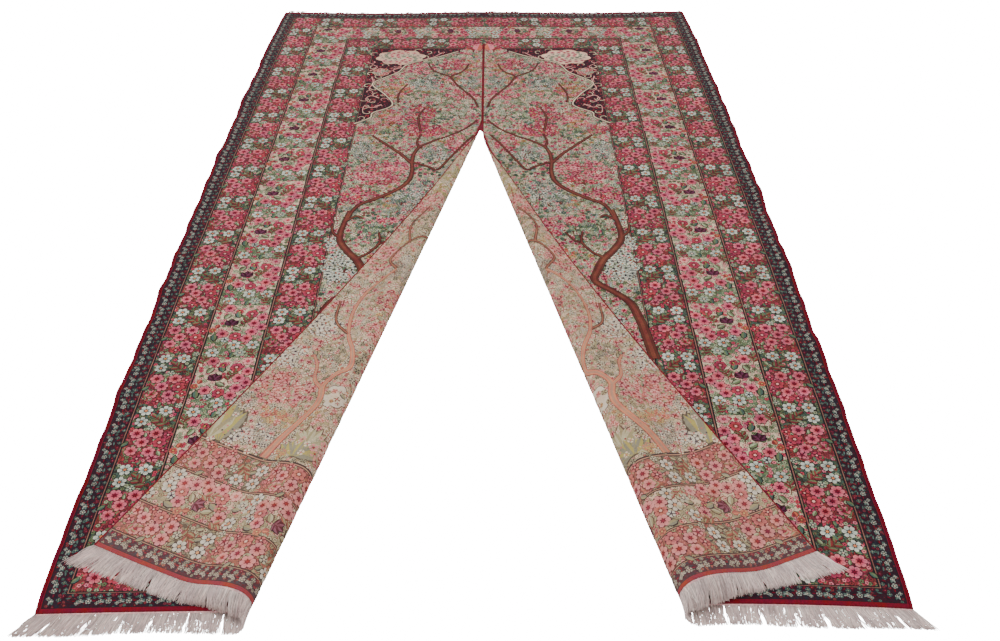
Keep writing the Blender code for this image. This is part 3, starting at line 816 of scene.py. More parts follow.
# path = root + reach along a lean shared by its tuft, plus gather and curl; off the edge of
# the fold it is then drawn in under it and droops by a share of its height
def makeFootFringe(word, side):
    own, count, stations = footFringe, footFringe["count"], fringe["stations"]
    mark = np.full(count, side)
    inner = slitTake(mark, np.zeros(count)) + fringe["overlap"]
    spanned = rug["halfWidth"] - fringe["margin"] - inner
    root = inner + spanned * (np.arange(count) + rng.random(count)) / count
    onFlap = root < pick("footX", mark)
    shortest = np.where(onFlap, own["flapLength"][0], own["length"][0])
    longest = np.where(onFlap, own["flapLength"][1], own["length"][1])
    tuft = np.floor(root / own["tuft"] + fringe["wobble"] * np.sin(root * 97))
    tuftSize = 0.5 + 0.5 * np.sin(tuft * 12.9898 + side)
    grown = own["tuftShare"] * tuftSize + (1 - own["tuftShare"]) * rng.random(count)
    length = shortest + (longest - shortest) * grown
    centre = (tuft + 0.5) * own["tuft"]
    way = np.linspace(0, 1, stations)
    out = np.clip((root - own["splayFrom"]) / (rug["halfWidth"] - own["splayFrom"]), 0, 1)
    sway = own["tuftLean"] * np.sin(tuft * 2.1 + 3 * side)
    sway = own["lean"] * (sway + own["ownLean"] * rng.normal(size=count))
    lean = sway + own["splay"] * out ** 2
    gather = (centre - root)[:, None] * own["gather"] * np.sin(np.pi * way * 0.62)
    curl = (own["curl"] * rng.normal(size=count))[:, None] * np.sin(np.pi * way * 1.5)
    reach = length[:, None] * way
    across = root[:, None] + lean[:, None] * reach + gather + curl
    across = side * np.maximum(across, own["least"])
    rootRows = np.broadcast_to((side * root)[:, None], across.shape)
    along = -endShift(rootRows, np.zeros_like(rootRows)) - reach + fringe["overlap"]
    low, more = own["rise"]
    rise = (low + more * rng.random(count))[:, None] * np.ones(stations)
    paths = layCloth(across, along, rise)
    raised = np.clip(paths[:, :1, 2] - own["level"], 0, None)
    inwards = 1 - own["pullIn"] * np.clip(raised / own["high"], 0, 1) * way
    paths[..., :2] = paths[:, :1, :2] + (paths[..., :2] - paths[:, :1, :2]) * inwards[..., None]
    sweep = own["sweep"] * np.clip(1 - root / own["sweepTo"], 0, 1) ** 1.5
    paths[..., 0] += side * sweep[:, None] * reach
    sink = own["droop"] * way ** 1.5 * (0.8 + 0.4 * rng.random(count))[:, None]
    rest = fringe["rest"] + own["restSpread"] * rng.random(count)[:, None]
    paths[..., 2] = np.maximum(paths[..., 2] - raised * sink, rest)
    piece = fringePiece("footFringe" + word, paths, root, length)
    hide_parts("fringe_foot_" + word.lower())
    return piece


# the same, flat on the floor; the ends grow longer towards the left corner
def makeFarFringe():
    own, count, stations = farFringe, farFringe["count"], fringe["stations"]
    half = rug["halfWidth"] - fringe["margin"]
    root = -half + 2 * half * (np.arange(count) + rng.random(count)) / count
    tuft = np.floor(root / own["tuft"] + fringe["wobble"] * np.sin(root * 83))
    tuftSize = 0.5 + 0.5 * np.sin(tuft * 7.233)
    low, high = own["length"]
    grown = own["tuftShare"] * tuftSize + (1 - own["tuftShare"]) * rng.random(count)
    length = low + (high - low) * grown
    atCorner = smoothStep(own["longFrom"], own["longTo"], root)
    length = length + (own["longest"] - high) * atCorner
    way = np.linspace(0, 1, stations)
    lean = own["tuftLean"] * np.sin(tuft * 1.7) + own["ownLean"] * rng.normal(size=count)
    centre = (tuft + 0.5) * own["tuft"]
    gather = (centre - root)[:, None] * own["gather"] * np.sin(np.pi * way * 0.6)
    across = root[:, None] + lean[:, None] * length[:, None] * way + gather
    across = np.clip(across, -own["widest"], own["widest"])
    rows = np.full_like(across, rug["length"])
    rootRows = np.broadcast_to(root[:, None], across.shape)
    reach = length[:, None] * way - fringe["overlap"]
    along = rug["length"] - endShift(rootRows, rows) + reach
    rise = own["restSpread"] * rng.random(count)[:, None] * (1 - 0.5 * way)
    paths = layCloth(across, along, fringe["rest"] + rise)
    piece = fringePiece("farFringe", paths, root, length)
    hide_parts("fringe_far")
    return piece


fringes = [makeFootFringe("Left", -1.0), makeFootFringe("Right", 1.0), makeFarFringe()]
print("fringes", sum(len(piece.data.polygons) for piece in fringes), "faces")

twine = {"thick": 0.0016, "step": 0.002, "sides": 6, "pitch": 0.006, "swell": 0.12,
         "out": 0.0012, "close": 0.02, "height": 0.0026, "uvTurn": 0.001, "tint": 0.1,
         "inset": 0.001, "leftStart": 0.006, "rightStart": 0.022}


# cord that closes the end of the pile: ring radius = thick (1 + swell cos(2 pi s / pitch
# - 2 a))
def makeTwine(name, start, end, far):
    count = int(abs(end - start) / twine["step"])
    root = np.linspace(start, end, count)
    angle = 2 * np.pi * np.arange(twine["sides"]) / twine["sides"]
    wave = 1 + twine["swell"] * np.cos(2 * np.pi * root[:, None] / twine["pitch"] - 2 * angle)
    size = np.ones(count)
    size[[0, -1]] = twine["close"]
    size = twine["thick"] * wave * size[:, None]
    across = np.broadcast_to(root[:, None], size.shape)
    rowAt = rug["length"] if far else 0.0
    out = twine["out"] if far else -twine["out"]
    edge = rowAt - endShift(across, np.full_like(size, rowAt)) + out
    rise = twine["height"] + size * np.sin(angle)
    points = layCloth(across, edge + size * np.cos(angle), rise)
    faces = ringFaces(size.shape)[:, [0, 3, 2, 1]]
    uv = np.stack([across, edge + angle * twine["uvTurn"]], axis=-1).reshape(-1, 2)
    tint = 1 + twine["tint"] * rng.normal(size=(count, 1, 1))
    colour = (dye("shell") * np.broadcast_to(tint, size.shape + (1,))).reshape(-1, 4)
    piece = makePiece(name, points.reshape(-1, 3), faces, [paints["wrappedYarn"]], uv, colour)
    return piece


edgeOut = rug["halfWidth"] - twine["inset"]
twines = [makeTwine("endTwineLeft", -edgeOut, -twine["leftStart"], False),
          makeTwine("endTwineRight", twine["rightStart"], edgeOut, False),
          makeTwine("endTwineFar", -edgeOut, edgeOut, True)]
print("end twines", len(twines))

# Inlaid motifs. A shape is its points, their rise over the pile, their colour number in a
# palette, and its triangles; "line", "rim", "mid" and "heart" are colours 0 to 3.
# No two motifs share a height: each part and each copy rises by a small step.
inlay = {"outline": 0.00025, "stem": 0.000325, "petal": 0.0004, "heart": 0.00055,
         "bark": 0.00075, "coat": 0.00006, "partStep": 0.000006, "copyStep": 0.000004,
         "copies": 37}
line, rim, mid, heart = range(4)


def disc(edge, scale, rise, outer, inner, at=(0.0, 0.0)):
    count = len(edge)
    points = np.concatenate([np.zeros((1, 2)), edge * scale]) + at
    key = np.array([inner] + [outer] * count)
    turn = np.arange(count)
    tris = np.stack([np.zeros(count, int), turn + 1, (turn + 1) % count + 1], axis=-1)
    return points, np.full(count + 1, rise), key, tris


def joinShapes(*shapes):
    offsets = np.cumsum([0] + [len(shape[0]) for shape in shapes[:-1]])
    tris = [shape[3] + offset for shape, offset in zip(shapes, offsets)]
    rise = [shape[1] + inlay["partStep"] * k for k, shape in enumerate(shapes)]
    return (np.concatenate([shape[0] for shape in shapes]), np.concatenate(rise),
            np.concatenate([shape[2] for shape in shapes]), np.concatenate(tris))


def moveShape(shape, scale, turn, at):
    spin = np.array([[np.cos(turn), np.sin(turn)], [-np.sin(turn), np.cos(turn)]])
    return (shape[0] * scale @ spin + at,) + shape[1:]


# dark disc with lobes r = 1 - dip ((1 + cos(petals a)) / 2) ** 1.5; on it separate petals,
# each widest at two thirds of its length, and a small heart
def blossom(petals, dip, inner=0.26, lobes=3, full=True, gap=0.70):
    angle = 2 * np.pi * np.arange(petals * lobes) / (petals * lobes)
    reach = 1 - dip * ((1 + np.cos(petals * (angle + np.pi / petals))) / 2) ** 1.5
    edge = np.stack([np.cos(angle), np.sin(angle)], axis=-1) * reach[:, None]
    wide = gap * 0.68 * np.tan(np.pi / petals)
    outline = [(0.24, 0.0), (0.42, -0.8 * wide), (0.68, -wide), (0.90, -0.55 * wide),
               (0.90, 0.55 * wide), (0.68, wide), (0.42, 0.8 * wide)]
    tone = [mid, mid, rim, rim, rim, rim, mid]
    if not full:
        outline, tone = outline[:1] + outline[2:6], tone[:1] + tone[2:6]
    fan = np.arange(1, len(outline) - 1)
    tris = np.stack([np.zeros(len(fan), int), fan, fan + 1], axis=-1)
    petal = (np.array(outline), np.full(len(outline), inlay["petal"]), np.array(tone), tris)
    around = [moveShape(petal, 1.0, 2 * np.pi * k / petals, (0, 0)) for k in range(petals)]
    small = 2 * np.pi * np.arange(4 + full) / (4 + full)
    dot = np.stack([np.cos(small), np.sin(small)], axis=-1)
    return joinShapes(disc(edge, 1.0, inlay["outline"], line, line), *around,
                      disc(dot, inner, inlay["heart"], heart, heart))


# lens from (0, 0) to (1, 0) in two halves, with an edge line under it
def leafShape(width=0.26):
    way = np.array([0.0, 0.3, 0.7, 1.0])
    swell = width * np.sin(np.pi * way) ** 0.8
    top = np.stack([way, swell], axis=-1)
    low = np.stack([way, -swell], axis=-1)
    grow = np.array([1.14, 1.5])
    edge = (np.concatenate([top, low[::-1][1:-1]]) - (0.5, 0)) * grow
    back = disc(edge[::-1], 1.0, inlay["outline"], line, line, (0.5, 0))
    tris = np.array([[0, 2, 1], [0, 3, 2]])
    upper = (top, np.full(4, inlay["petal"]), np.full(4, rim), tris)
    lower = (low, np.full(4, inlay["petal"]), np.full(4, mid), tris[:, ::-1])
    return joinShapes(back, upper, lower)


# triangles of a strip whose points are one long edge, then the other
def stripTris(stations):
    i = np.arange(stations - 1)
    return np.concatenate([np.stack([i, i + stations, i + stations + 1], axis=-1),
                           np.stack([i, i + stations + 1, i + 1], axis=-1)])


# band of given width round the curve y = bend (1 - (2x - 1)^2)
def stemShape(bend=0.12, width=0.05, stations=5):
    way = np.linspace(0, 1, stations)
    middle = bend * (1 - (2 * way - 1) ** 2)
    top = np.stack([way, middle + width / 2], axis=-1)
    low = np.stack([way, middle - width / 2], axis=-1)
    rise = np.full(2 * stations, inlay["stem"])
    return np.concatenate([top, low]), rise, np.full(2 * stations, line), stripTris(stations)


# ribbon along the spiral r = 0.25 + 0.75 t, angle = 4.4 t, for t from 0 to 1
def curlShape(width=0.16, stations=9):
    way = np.linspace(0, 1, stations)[:, None]
    angle = 4.4 * way
    spoke = np.concatenate([np.cos(angle), np.sin(angle)], axis=-1)
    reach = 0.25 + 0.75 * way
    points = np.concatenate([spoke * (reach - width / 2), spoke * (reach + width / 2)])
    rise = np.full(2 * stations, inlay["petal"])
    return points, rise, np.full(2 * stations, rim), stripTris(stations)


leaf = leafShape()
thin = leafShape(0.16)
shapes = {
    "rose": blossom(6, 0.10, 0.24, 2, True, 0.84), "daisy": blossom(6, 0.16, 0.22, 2, True, 0.76),
    "small": blossom(5, 0.16, 0.26, 2, False, 0.78), "tiny": blossom(4, 0.1, 0.3, 2, False, 0.7),
    "curl": curlShape(), "bud": leafShape(0.36), "leaf": leaf, "blade": thin,
    "tulip": joinShapes(
        moveShape(leaf, 1.0, 0.0, (-0.3, 0)), moveShape(leaf, 0.95, 0.65, (-0.3, 0)),
        moveShape(leaf, 0.95, -0.65, (-0.3, 0)), moveShape(thin, 0.7, 1.3, (-0.25, 0)),
        moveShape(thin, 0.7, -1.3, (-0.25, 0))),
    "twig": joinShapes(
        stemShape(), moveShape(leaf, 0.42, 0.9, (0.25, 0.06)),
        moveShape(leaf, 0.42, -0.7, (0.4, 0.08)), moveShape(leaf, 0.40, 0.8, (0.6, 0.1)),
        moveShape(leaf, 0.36, -0.8, (0.75, 0.06)), moveShape(leaf, 0.36, 0.1, (0.92, 0))),
    "stem": stemShape(0.10, 0.045),
}
palettes = {
    "rose": ("maroon", "pink", "rose", "crimson"), "deepRose": ("maroon", "rose", "brick", "blush"),
    "paleRose": ("brick", "blush", "pink", "rose"), "red": ("maroon", "rose", "brick", "gold"),
    "daisy": ("outline", "white", "grey", "orange"), "sage": ("outline", "sage", "grey", "cream"),
    "blue": ("navy", "grey", "white", "navy"), "coral": ("brick", "coral", "brick", "gold"),
    "tulip": ("outline", "purple", "maroon", "rose"), "wine": ("outline", "rose", "maroon", "pink"),
    "leaf": ("shadow", "leaf", "sage", "leaf"), "teal": ("outline", "teal", "leaf", "teal"),
    "bark": ("bark", "brick", "leaf", "bark"), "cream": ("bark", "cream", "white", "rose"),
    "gold": ("bark", "gold", "leaf", "coral"), "lime": ("dark", "lime", "teal", "lime"),
    "dim": ("navy", "slate", "teal", "sage"), "ash": ("navy", "ash", "slate", "cream"),
    "ember": ("navy", "crimson", "maroon", "rose"), "pale": ("navy", "white", "ash", "navy"),
    "cloudCream": ("maroon", "peach", "cream", "cream"),
    "cloudCoral": ("cream", "coral", "maroon", "gold"),
    "rockCream": ("shadow", "white", "cream", "cream"),
    "petalCoral": ("brick", "coral", "pink", "coral"),
}
layers = {}
made = {"copies": 0}


def copyStep(count):
    start = made["copies"]
    made["copies"] += count
    return (np.arange(start, start + count) * 11 % inlay["copies"]) * inlay["copyStep"]


# place = at + size * turned shape, then through the run's own axes
def stamp(layer, kind, at, size, turn, names, axes=((1, 0), (0, 1)), vary=0.10):
    points, rise, key, tris = shapes[kind]
    count = max(len(np.atleast_2d(at)), np.size(size), np.size(turn))
    at = np.broadcast_to(np.atleast_2d(at).astype(float), (count, 2))
    size = np.broadcast_to(size, count)[:, None, None]
    turn = np.broadcast_to(turn, count)
    names = [names] * count if isinstance(names, str) else names
    cos, sin = np.cos(turn)[:, None], np.sin(turn)[:, None]
    turned = np.stack([cos * points[:, 0] - sin * points[:, 1],
                       sin * points[:, 0] + cos * points[:, 1]], axis=-1)
    axes = np.array(axes, float)
    flat = at[:, None, :] + (size * turned) @ axes
    tones = np.array([[dye(colour) for colour in palettes[name]] for name in names])
    tones = tones * (1 + vary * np.clip(rng.normal(size=(count, 1, 1)), -2, 2))
    flip = np.linalg.det(axes) < 0
    rises = rise + copyStep(count)[:, None]
    layers.setdefault(layer, []).append(
        (flat, rises, tones[:, key], tris[:, ::-1] if flip else tris))


# One repeat of each stripe: shape, place along the repeat (0 to 1), place across the
# stripe from its outer edge (0 to 1), size in millimetres, turn in degrees, palette.
stripeUnit = [
    ("daisy", 0.325, 0.26, 14.0, 10, "daisy"), ("daisy", 0.325, 0.68, 14.0, 40, "daisy"),
    ("daisy", 0.130, 0.24, 13.0, 25, "daisy"), ("twig", 0.06, 0.86, 38, 140, "bark"),
    ("small", 0.03, 0.50, 8.5, 0, "sage"), ("leaf", 0.20, 0.52, 15, 60, "teal"),
    ("leaf", 0.22, 0.92, 14, 240, "leaf"), ("leaf", 0.40, 0.47, 13, 80, "teal"),
    ("leaf", 0.02, 0.14, 14, 30, "teal"), ("small", 0.42, 0.92, 7.5, 0, "sage"),
    ("rose", 0.925, 0.24, 14.0, 0, "rose"), ("rose", 0.925, 0.64, 14.0, 35, "rose"),
    ("rose", 0.775, 0.40, 13.5, 15, "rose"), ("rose", 0.770, 0.77, 13.5, 50, "deepRose"),
    ("rose", 0.630, 0.24, 12.5, 15, "rose"), ("rose", 0.620, 0.60, 13.0, 25, "rose"),
    ("small", 0.500, 0.42, 10.0, 0, "deepRose"), ("small", 0.510, 0.72, 10.0, 30, "rose"),
    ("small", 0.64, 0.90, 9.0, 50, "deepRose"), ("small", 0.90, 0.90, 9.0, 10, "deepRose"),
    ("leaf", 0.78, 0.13, 16, 225, "teal"), ("twig", 0.50, 0.10, 30, 60, "bark"),
    ("leaf", 0.55, 0.86, 14, 120, "leaf"), ("leaf", 0.86, 0.44, 12, 100, "leaf"),
]
middleUnit = [
    ("daisy", 0.225, 0.84, 14.0, 0, "daisy"), ("daisy", 0.225, 0.52, 14.5, 30, "daisy"),
    ("daisy", 0.08, 0.66, 13.5, 15, "sage"), ("daisy", 0.08, 0.20, 14.0, 5, "daisy"),
    ("rose", 0.345, 0.70, 13.5, 0, "rose"), ("rose", 0.39, 0.50, 13.0, 40, "deepRose"),
    ("rose", 0.43, 0.27, 13.5, 15, "rose"), ("rose", 0.47, 0.76, 13.5, 60, "rose"),
    ("rose", 0.56, 0.90, 12.5, 20, "rose"), ("rose", 0.635, 0.76, 13.5, 0, "rose"),
    ("rose", 0.75, 0.88, 13.0, 30, "rose"), ("rose", 0.82, 0.68, 13.5, 10, "deepRose"),
    ("rose", 0.93, 0.84, 12.0, 0, "paleRose"), ("rose", 0.93, 0.26, 14.0, 0, "rose"),
    ("tulip", 0.63, 0.37, 21.0, 90, "tulip"), ("bud", 0.54, 0.13, 12.0, 70, "coral"),
    ("small", 0.50, 0.08, 8.0, 0, "coral"), ("leaf", 0.74, 0.48, 22, 110, "teal"),
    ("leaf", 0.72, 0.22, 20, 60, "leaf"), ("leaf", 0.50, 0.56, 20, 150, "leaf"),
    ("leaf", 0.30, 0.16, 22, 100, "teal"), ("leaf", 0.15, 0.42, 18, 70, "leaf"),
    ("twig", 0.56, 0.60, 34, 75, "bark"), ("twig", 0.84, 0.12, 34, 85, "bark"),
    ("leaf", 0.99, 0.52, 18, 80, "teal"), ("small", 0.32, 0.34, 8.5, 0, "blue"),
    ("small", 0.86, 0.45, 9.0, 0, "red"), ("twig", 0.02, 0.94, 30, 120, "bark"),
]
guardUnit = [
    ("small", 0.22, 0.28, 5.4, 0, "ash"), ("leaf", 0.40, 0.20, 7.5, 70, "ash"),
    ("leaf", 0.40, 0.40, 7.5, 110, "dim"), ("tiny", 0.62, 0.30, 4.0, 0, "ash"),
    ("bud", 0.84, 0.36, 7.0, 90, "ember"), ("blade", 0.10, 0.60, 9, 100, "dim"),
    ("bud", 0.45, 0.66, 7.0, 30, "ember"), ("tiny", 0.70, 0.66, 4.4, 0, "dim"),
    ("tiny", 0.92, 0.84, 3.8, 0, "ember"), ("tiny", 0.30, 0.86, 3.8, 0, "dim"),
    ("tiny", 0.78, 0.12, 3.6, 0, "ash"),
]
sameRun = {"side": bands["sidePeriod"], "sidePhase": bands["sidePhase"],
           "end": bands["endPeriod"], "endStart": bands["endStart"]}
stripes = {
    "guard": {"unit": guardUnit, "index": 0, "side": 0.0315, "sidePhase": 0.0, "end": 0.0315,
              "endStart": 0.0},
    "outer": {"unit": stripeUnit, "index": 1, **sameRun},
    "middle": {"unit": middleUnit, "index": 2, "side": bands["middlePeriod"],
               "sidePhase": 0.5, "end": 0.171, "endStart": 0.0},
    "inner": {"unit": stripeUnit, "index": 3, **sameRun},
}
stripeRoom = {"hem": 0.012, "middleGap": 0.008, "cornerGap": 0.006, "repeats": 6,
              "guardRepeats": 26}


def stripeSpan(run, index):
    edges = (0.0,) + bands[run]
    low = stripeRoom["hem"] if index == 0 else edges[index]
    return low, edges[index + 1]


# s = (repeat + f - phase) period along the stripe, and t of its width across it
def layStripe(name):
    stripe = stripes[name]
    index = stripe["index"]
    for kind, f, t, size, turn, palette in stripe["unit"]:
        turn = np.radians(turn)
        low, high = stripeSpan("side", index)
        period = stripe["side"]
        s = (np.arange(-1, int(rug["length"] / period) + 2) + f - stripe["sidePhase"]) * period
        keep = (s > low) & (s < rug["length"] - low)
        s = s[keep]
        inward = rug["halfWidth"] - low - t * (high - low)
        for side in (-1.0, 1.0):
            at = np.stack([np.full_like(s, side * inward), s], axis=-1)
            stamp(name, kind, at, size / 1000, turn, palette, ((-side, 0), (0, 1)))
        innerSide = stripeSpan("side", index)[1]
        for run, way in (("far", -1.0), ("foot", 1.0)):
            low, high = stripeSpan(run, index)
            period = stripe["end"]
            repeats = stripeRoom["repeats" if index else "guardRepeats"]
            s = (np.arange(-2, repeats) + f) * period + stripe["endStart"]
            last = rug["halfWidth"] - innerSide - stripeRoom["cornerGap"]
            s = s[(s > stripeRoom["middleGap"]) & (s < last)]
            depth = low + t * (high - low)
            v = depth if way > 0 else rug["length"] - depth
            for side in (-1.0, 1.0):
                at = np.stack([side * s, np.full_like(s, v)], axis=-1)
                stamp(name, kind, at, size / 1000, turn, palette, ((0, way), (side, 0)))


for stripeName in stripes:
    layStripe(stripeName)
print("stripes laid")

# Catmull-Rom curve through given points
def smoothPath(points, steps=6):
    p = np.array(points, float)
    p = np.concatenate([2 * p[:1] - p[1:2], p, 2 * p[-1:] - p[-2:-1]])
    t = np.linspace(0, 1, steps, endpoint=False)[None, :, None]
    a, b, c, d = (p[k:len(p) - 3 + k, None, :] for k in range(4))
    curve = 0.5 * (2 * b + (c - a) * t + (2 * a - 5 * b + 4 * c - d) * t ** 2
                   + (3 * b - a - 3 * c + d) * t ** 3)
    return np.concatenate([curve.reshape(-1, 2), p[-2:-1]])


# band along a curve: left and right edge = path +- normal * width / 2, on both halves
def ribbon(layer, points, widths, body, edge="shadow", border=0.0026, core=None):
    path = smoothPath(points)
    run = np.gradient(path, axis=0)
    run /= np.linalg.norm(run, axis=1, keepdims=True)
    normal = np.stack([-run[:, 1], run[:, 0]], axis=-1)
    width = np.interp(np.linspace(0, 1, len(path)), np.linspace(0, 1, len(widths)), widths)
    coats = [(edge, width + border, 0), (body, width, 1)]
    if core:
        coats.append((core, width * 0.4, 2))
    for name, full, coat in coats:
        rise = inlay["bark"] + inlay["coat"] * coat
        reach = normal * full[:, None] / 2
        top, low = path + reach, path - reach
        quads = np.stack([top[:-1], low[:-1], low[1:], top[1:]], axis=1)
        tris = np.array([[0, 1, 2], [0, 2, 3]])
        colour = np.broadcast_to(dye(name), quads.shape[:2] + (4,))
        rises = np.full((len(quads), 4), rise) + copyStep(1) / 10
        for side in (-1.0, 1.0):
            turned = tris if side > 0 else tris[:, ::-1]
            layers.setdefault(layer, []).append(
                (quads * (side, 1.0), rises, colour, turned))


# Each branch: points from its root (distance from the slit, along the rug), widths.
tree = [
    ([(0.352, 0.58), (0.345, 0.64), (0.337, 0.70), (0.322, 0.76), (0.29, 0.80), (0.254, 0.838),
      (0.262, 0.875), (0.28, 0.92), (0.306, 0.957), (0.328, 1.005), (0.325, 1.07), (0.318, 1.125)],
     (0.021, 0.018, 0.015, 0.018, 0.015, 0.008)),
    ([(0.150, 0.258), (0.156, 0.31), (0.178, 0.384), (0.175, 0.42), (0.160, 0.450),
      (0.169, 0.483), (0.187, 0.512), (0.163, 0.56), (0.12, 0.61), (0.088, 0.68), (0.082, 0.76),
      (0.11, 0.84)], (0.018, 0.013, 0.012, 0.010, 0.007, 0.005, 0.004)),
    ([(0.167, 0.44), (0.126, 0.468), (0.108, 0.505), (0.085, 0.53)], (0.007, 0.003)),
    ([(0.322, 1.08), (0.302, 1.145), (0.258, 1.18), (0.212, 1.22), (0.186, 1.262), (0.18, 1.31),
      (0.184, 1.358)], (0.007, 0.010, 0.011, 0.008)),
    ([(0.184, 1.35), (0.217, 1.40), (0.246, 1.435), (0.273, 1.467), (0.30, 1.50)], (0.009, 0.005)),
    ([(0.184, 1.35), (0.18, 1.40), (0.165, 1.437), (0.126, 1.472), (0.092, 1.495),
      (0.048, 1.535), (0.014, 1.585)], (0.010, 0.005, 0.004)),
    ([(0.183, 1.355), (0.142, 1.333), (0.116, 1.316), (0.09, 1.366), (0.05, 1.45), (0.022, 1.50)],
     (0.007, 0.005, 0.004)),
    ([(0.170, 1.43), (0.176, 1.465), (0.166, 1.505)], (0.005, 0.003)),
    ([(0.328, 1.01), (0.346, 1.03), (0.352, 1.06)], (0.007, 0.004)),
    ([(0.322, 1.08), (0.30, 1.10), (0.285, 1.09)], (0.006, 0.004)),
    ([(0.282, 0.925), (0.255, 0.95), (0.235, 0.99), (0.24, 1.03)], (0.006, 0.004)),
    ([(0.24, 0.98), (0.215, 1.0), (0.20, 1.03)], (0.005, 0.003)),
    ([(0.013, 1.66), (0.03, 1.72), (0.075, 1.80), (0.10, 1.86)], (0.004, 0.005)),
    ([(0.10, 1.86), (0.06, 1.90), (0.045, 1.95)], (0.005, 0.003)),
    ([(0.10, 1.86), (0.15, 1.90), (0.17, 1.95)], (0.005, 0.003)),
    ([(0.245, 1.69), (0.245, 1.75), (0.225, 1.81)], (0.004, 0.003)),
    ([(0.17, 1.52), (0.18, 1.60), (0.165, 1.66)], (0.005, 0.003)),
    ([(0.11, 0.84), (0.07, 0.88), (0.085, 0.95), (0.14, 1.02)], (0.005, 0.004)),
    ([(0.12, 0.61), (0.07, 0.64), (0.045, 0.70)], (0.005, 0.003)),
    ([(0.085, 0.95), (0.05, 1.02), (0.06, 1.10)], (0.005, 0.003)),
]
for branch, branchWidths in tree:
    nearFoot = branch[0][1] < 0.50
    body, edge = ("coral", "brick") if nearFoot else ("bark", "outline")
    ribbon("tree", branch, branchWidths, body, edge, core="clay" if nearFoot else "trunk")

# Beds of the field, for one half: place, half width and half height in metres, what grows.
beds = [
    (0.315, 0.90, 0.036, 0.062, "white"), (0.345, 0.985, 0.012, 0.03, "white"),
    (0.255, 1.03, 0.050, 0.050, "green"), (0.228, 1.075, 0.024, 0.020, "rose"),
    (0.190, 1.165, 0.042, 0.050, "blue"), (0.150, 1.22, 0.036, 0.045, "blue"),
    (0.225, 1.150, 0.013, 0.014, "orange"), (0.303, 1.192, 0.045, 0.034, "deepRed"),
    (0.262, 1.305, 0.072, 0.060, "rose"), (0.318, 1.42, 0.030, 0.050, "blue"),
    (0.335, 1.34, 0.02, 0.03, "sage"), (0.245, 1.50, 0.035, 0.030, "green"),
    (0.160, 1.525, 0.060, 0.035, "deepRed"), (0.318, 1.53, 0.028, 0.030, "deepRed"),
    (0.118, 1.405, 0.042, 0.036, "blue"), (0.065, 1.455, 0.030, 0.045, "rose"),
    (0.225, 1.38, 0.02, 0.02, "sage"), (0.175, 1.62, 0.042, 0.060, "deepRed"),
    (0.262, 1.595, 0.036, 0.050, "coral"), (0.062, 1.640, 0.042, 0.045, "sage"),
    (0.110, 1.60, 0.025, 0.03, "green"), (0.160, 1.715, 0.050, 0.028, "sage"),
    (0.062, 1.740, 0.045, 0.030, "rose"), (0.255, 1.775, 0.042, 0.055, "coral"),
    (0.172, 1.815, 0.042, 0.046, "blue"), (0.095, 1.850, 0.030, 0.042, "coral"),
    (0.040, 1.820, 0.026, 0.040, "blue"), (0.190, 1.915, 0.048, 0.036, "rose"),
    (0.095, 1.945, 0.036, 0.036, "deepRed"), (0.038, 1.935, 0.022, 0.042, "coral"),
    (0.060, 2.020, 0.036, 0.026, "sage"), (0.120, 1.985, 0.030, 0.016, "green"),
    (0.050, 1.230, 0.034, 0.075, "lime"), (0.110, 1.130, 0.040, 0.050, "sage"),
    (0.045, 1.110, 0.028, 0.050, "rose"), (0.165, 1.040, 0.030, 0.045, "rose"),
    (0.090, 0.985, 0.036, 0.040, "green"), (0.180, 0.930, 0.040, 0.040, "coral"),
    (0.050, 0.880, 0.036, 0.050, "rose"), (0.120, 0.850, 0.030, 0.040, "blue"),
    (0.200, 0.780, 0.040, 0.045, "rose"), (0.050, 0.740, 0.034, 0.045, "sage"),
    (0.160, 0.735, 0.030, 0.035, "deepRed"), (0.250, 0.700, 0.050, 0.040, "white"),
    (0.190, 0.640, 0.030, 0.040, "rose"), (0.050, 0.615, 0.040, 0.030, "white"),
    (0.300, 0.620, 0.040, 0.035, "rose"), (0.230, 0.580, 0.030, 0.035, "rose"),
    (0.115, 0.545, 0.030, 0.026, "green"), (0.040, 0.510, 0.028, 0.034, "white"),
    (0.290, 0.530, 0.045, 0.035, "sage"), (0.066, 0.420, 0.036, 0.045, "rose"),
    (0.125, 0.420, 0.026, 0.030, "rose"), (0.118, 0.352, 0.040, 0.016, "orange"),
    (0.110, 0.300, 0.034, 0.026, "blue"), (0.070, 0.282, 0.030, 0.014, "white"),
    (0.040, 0.365, 0.018, 0.022, "blue"), (0.245, 0.455, 0.026, 0.034, "coral"),
    (0.290, 0.430, 0.030, 0.040, "green"), (0.330, 0.345, 0.018, 0.030, "rose"),
    (0.262, 0.300, 0.026, 0.026, "rose"), (0.185, 0.275, 0.020, 0.014, "orange"),
]
# What grows: shape, size in millimetres, palettes, plants to a square decimetre, leaves.
plants = {
    "rose": ("small", 9.0, ("rose", "paleRose", "rose", "deepRose"), 62, 0.5),
    "deepRed": ("small", 9.5, ("red", "deepRose", "wine", "rose"), 60, 0.4),
    "coral": ("small", 8.0, ("coral", "gold", "paleRose", "rose"), 62, 0.5),
    "sage": ("small", 8.0, ("sage", "cream", "sage", "rose"), 50, 0.9),
    "white": ("small", 8.8, ("pale", "pale", "daisy", "pale"), 72, 0.1),
    "blue": ("tiny", 6.6, ("pale", "ash", "dim", "ash"), 104, 0.1),
    "green": ("small", 7.0, ("sage", "dim", "rose"), 24, 3.4),
    "lime": ("small", 8.0, ("lime", "sage", "lime", "cream"), 55, 1.2),
    "orange": ("small", 7.5, ("gold", "coral"), 90, 0.0),
}


growth = {"spiral": 2.4, "jitter": 0.0025, "least": 0.8, "more": 0.35, "leaf": 0.015,
          "leafReach": 0.9, "rootBelow": 1.05, "stemEvery": 5}


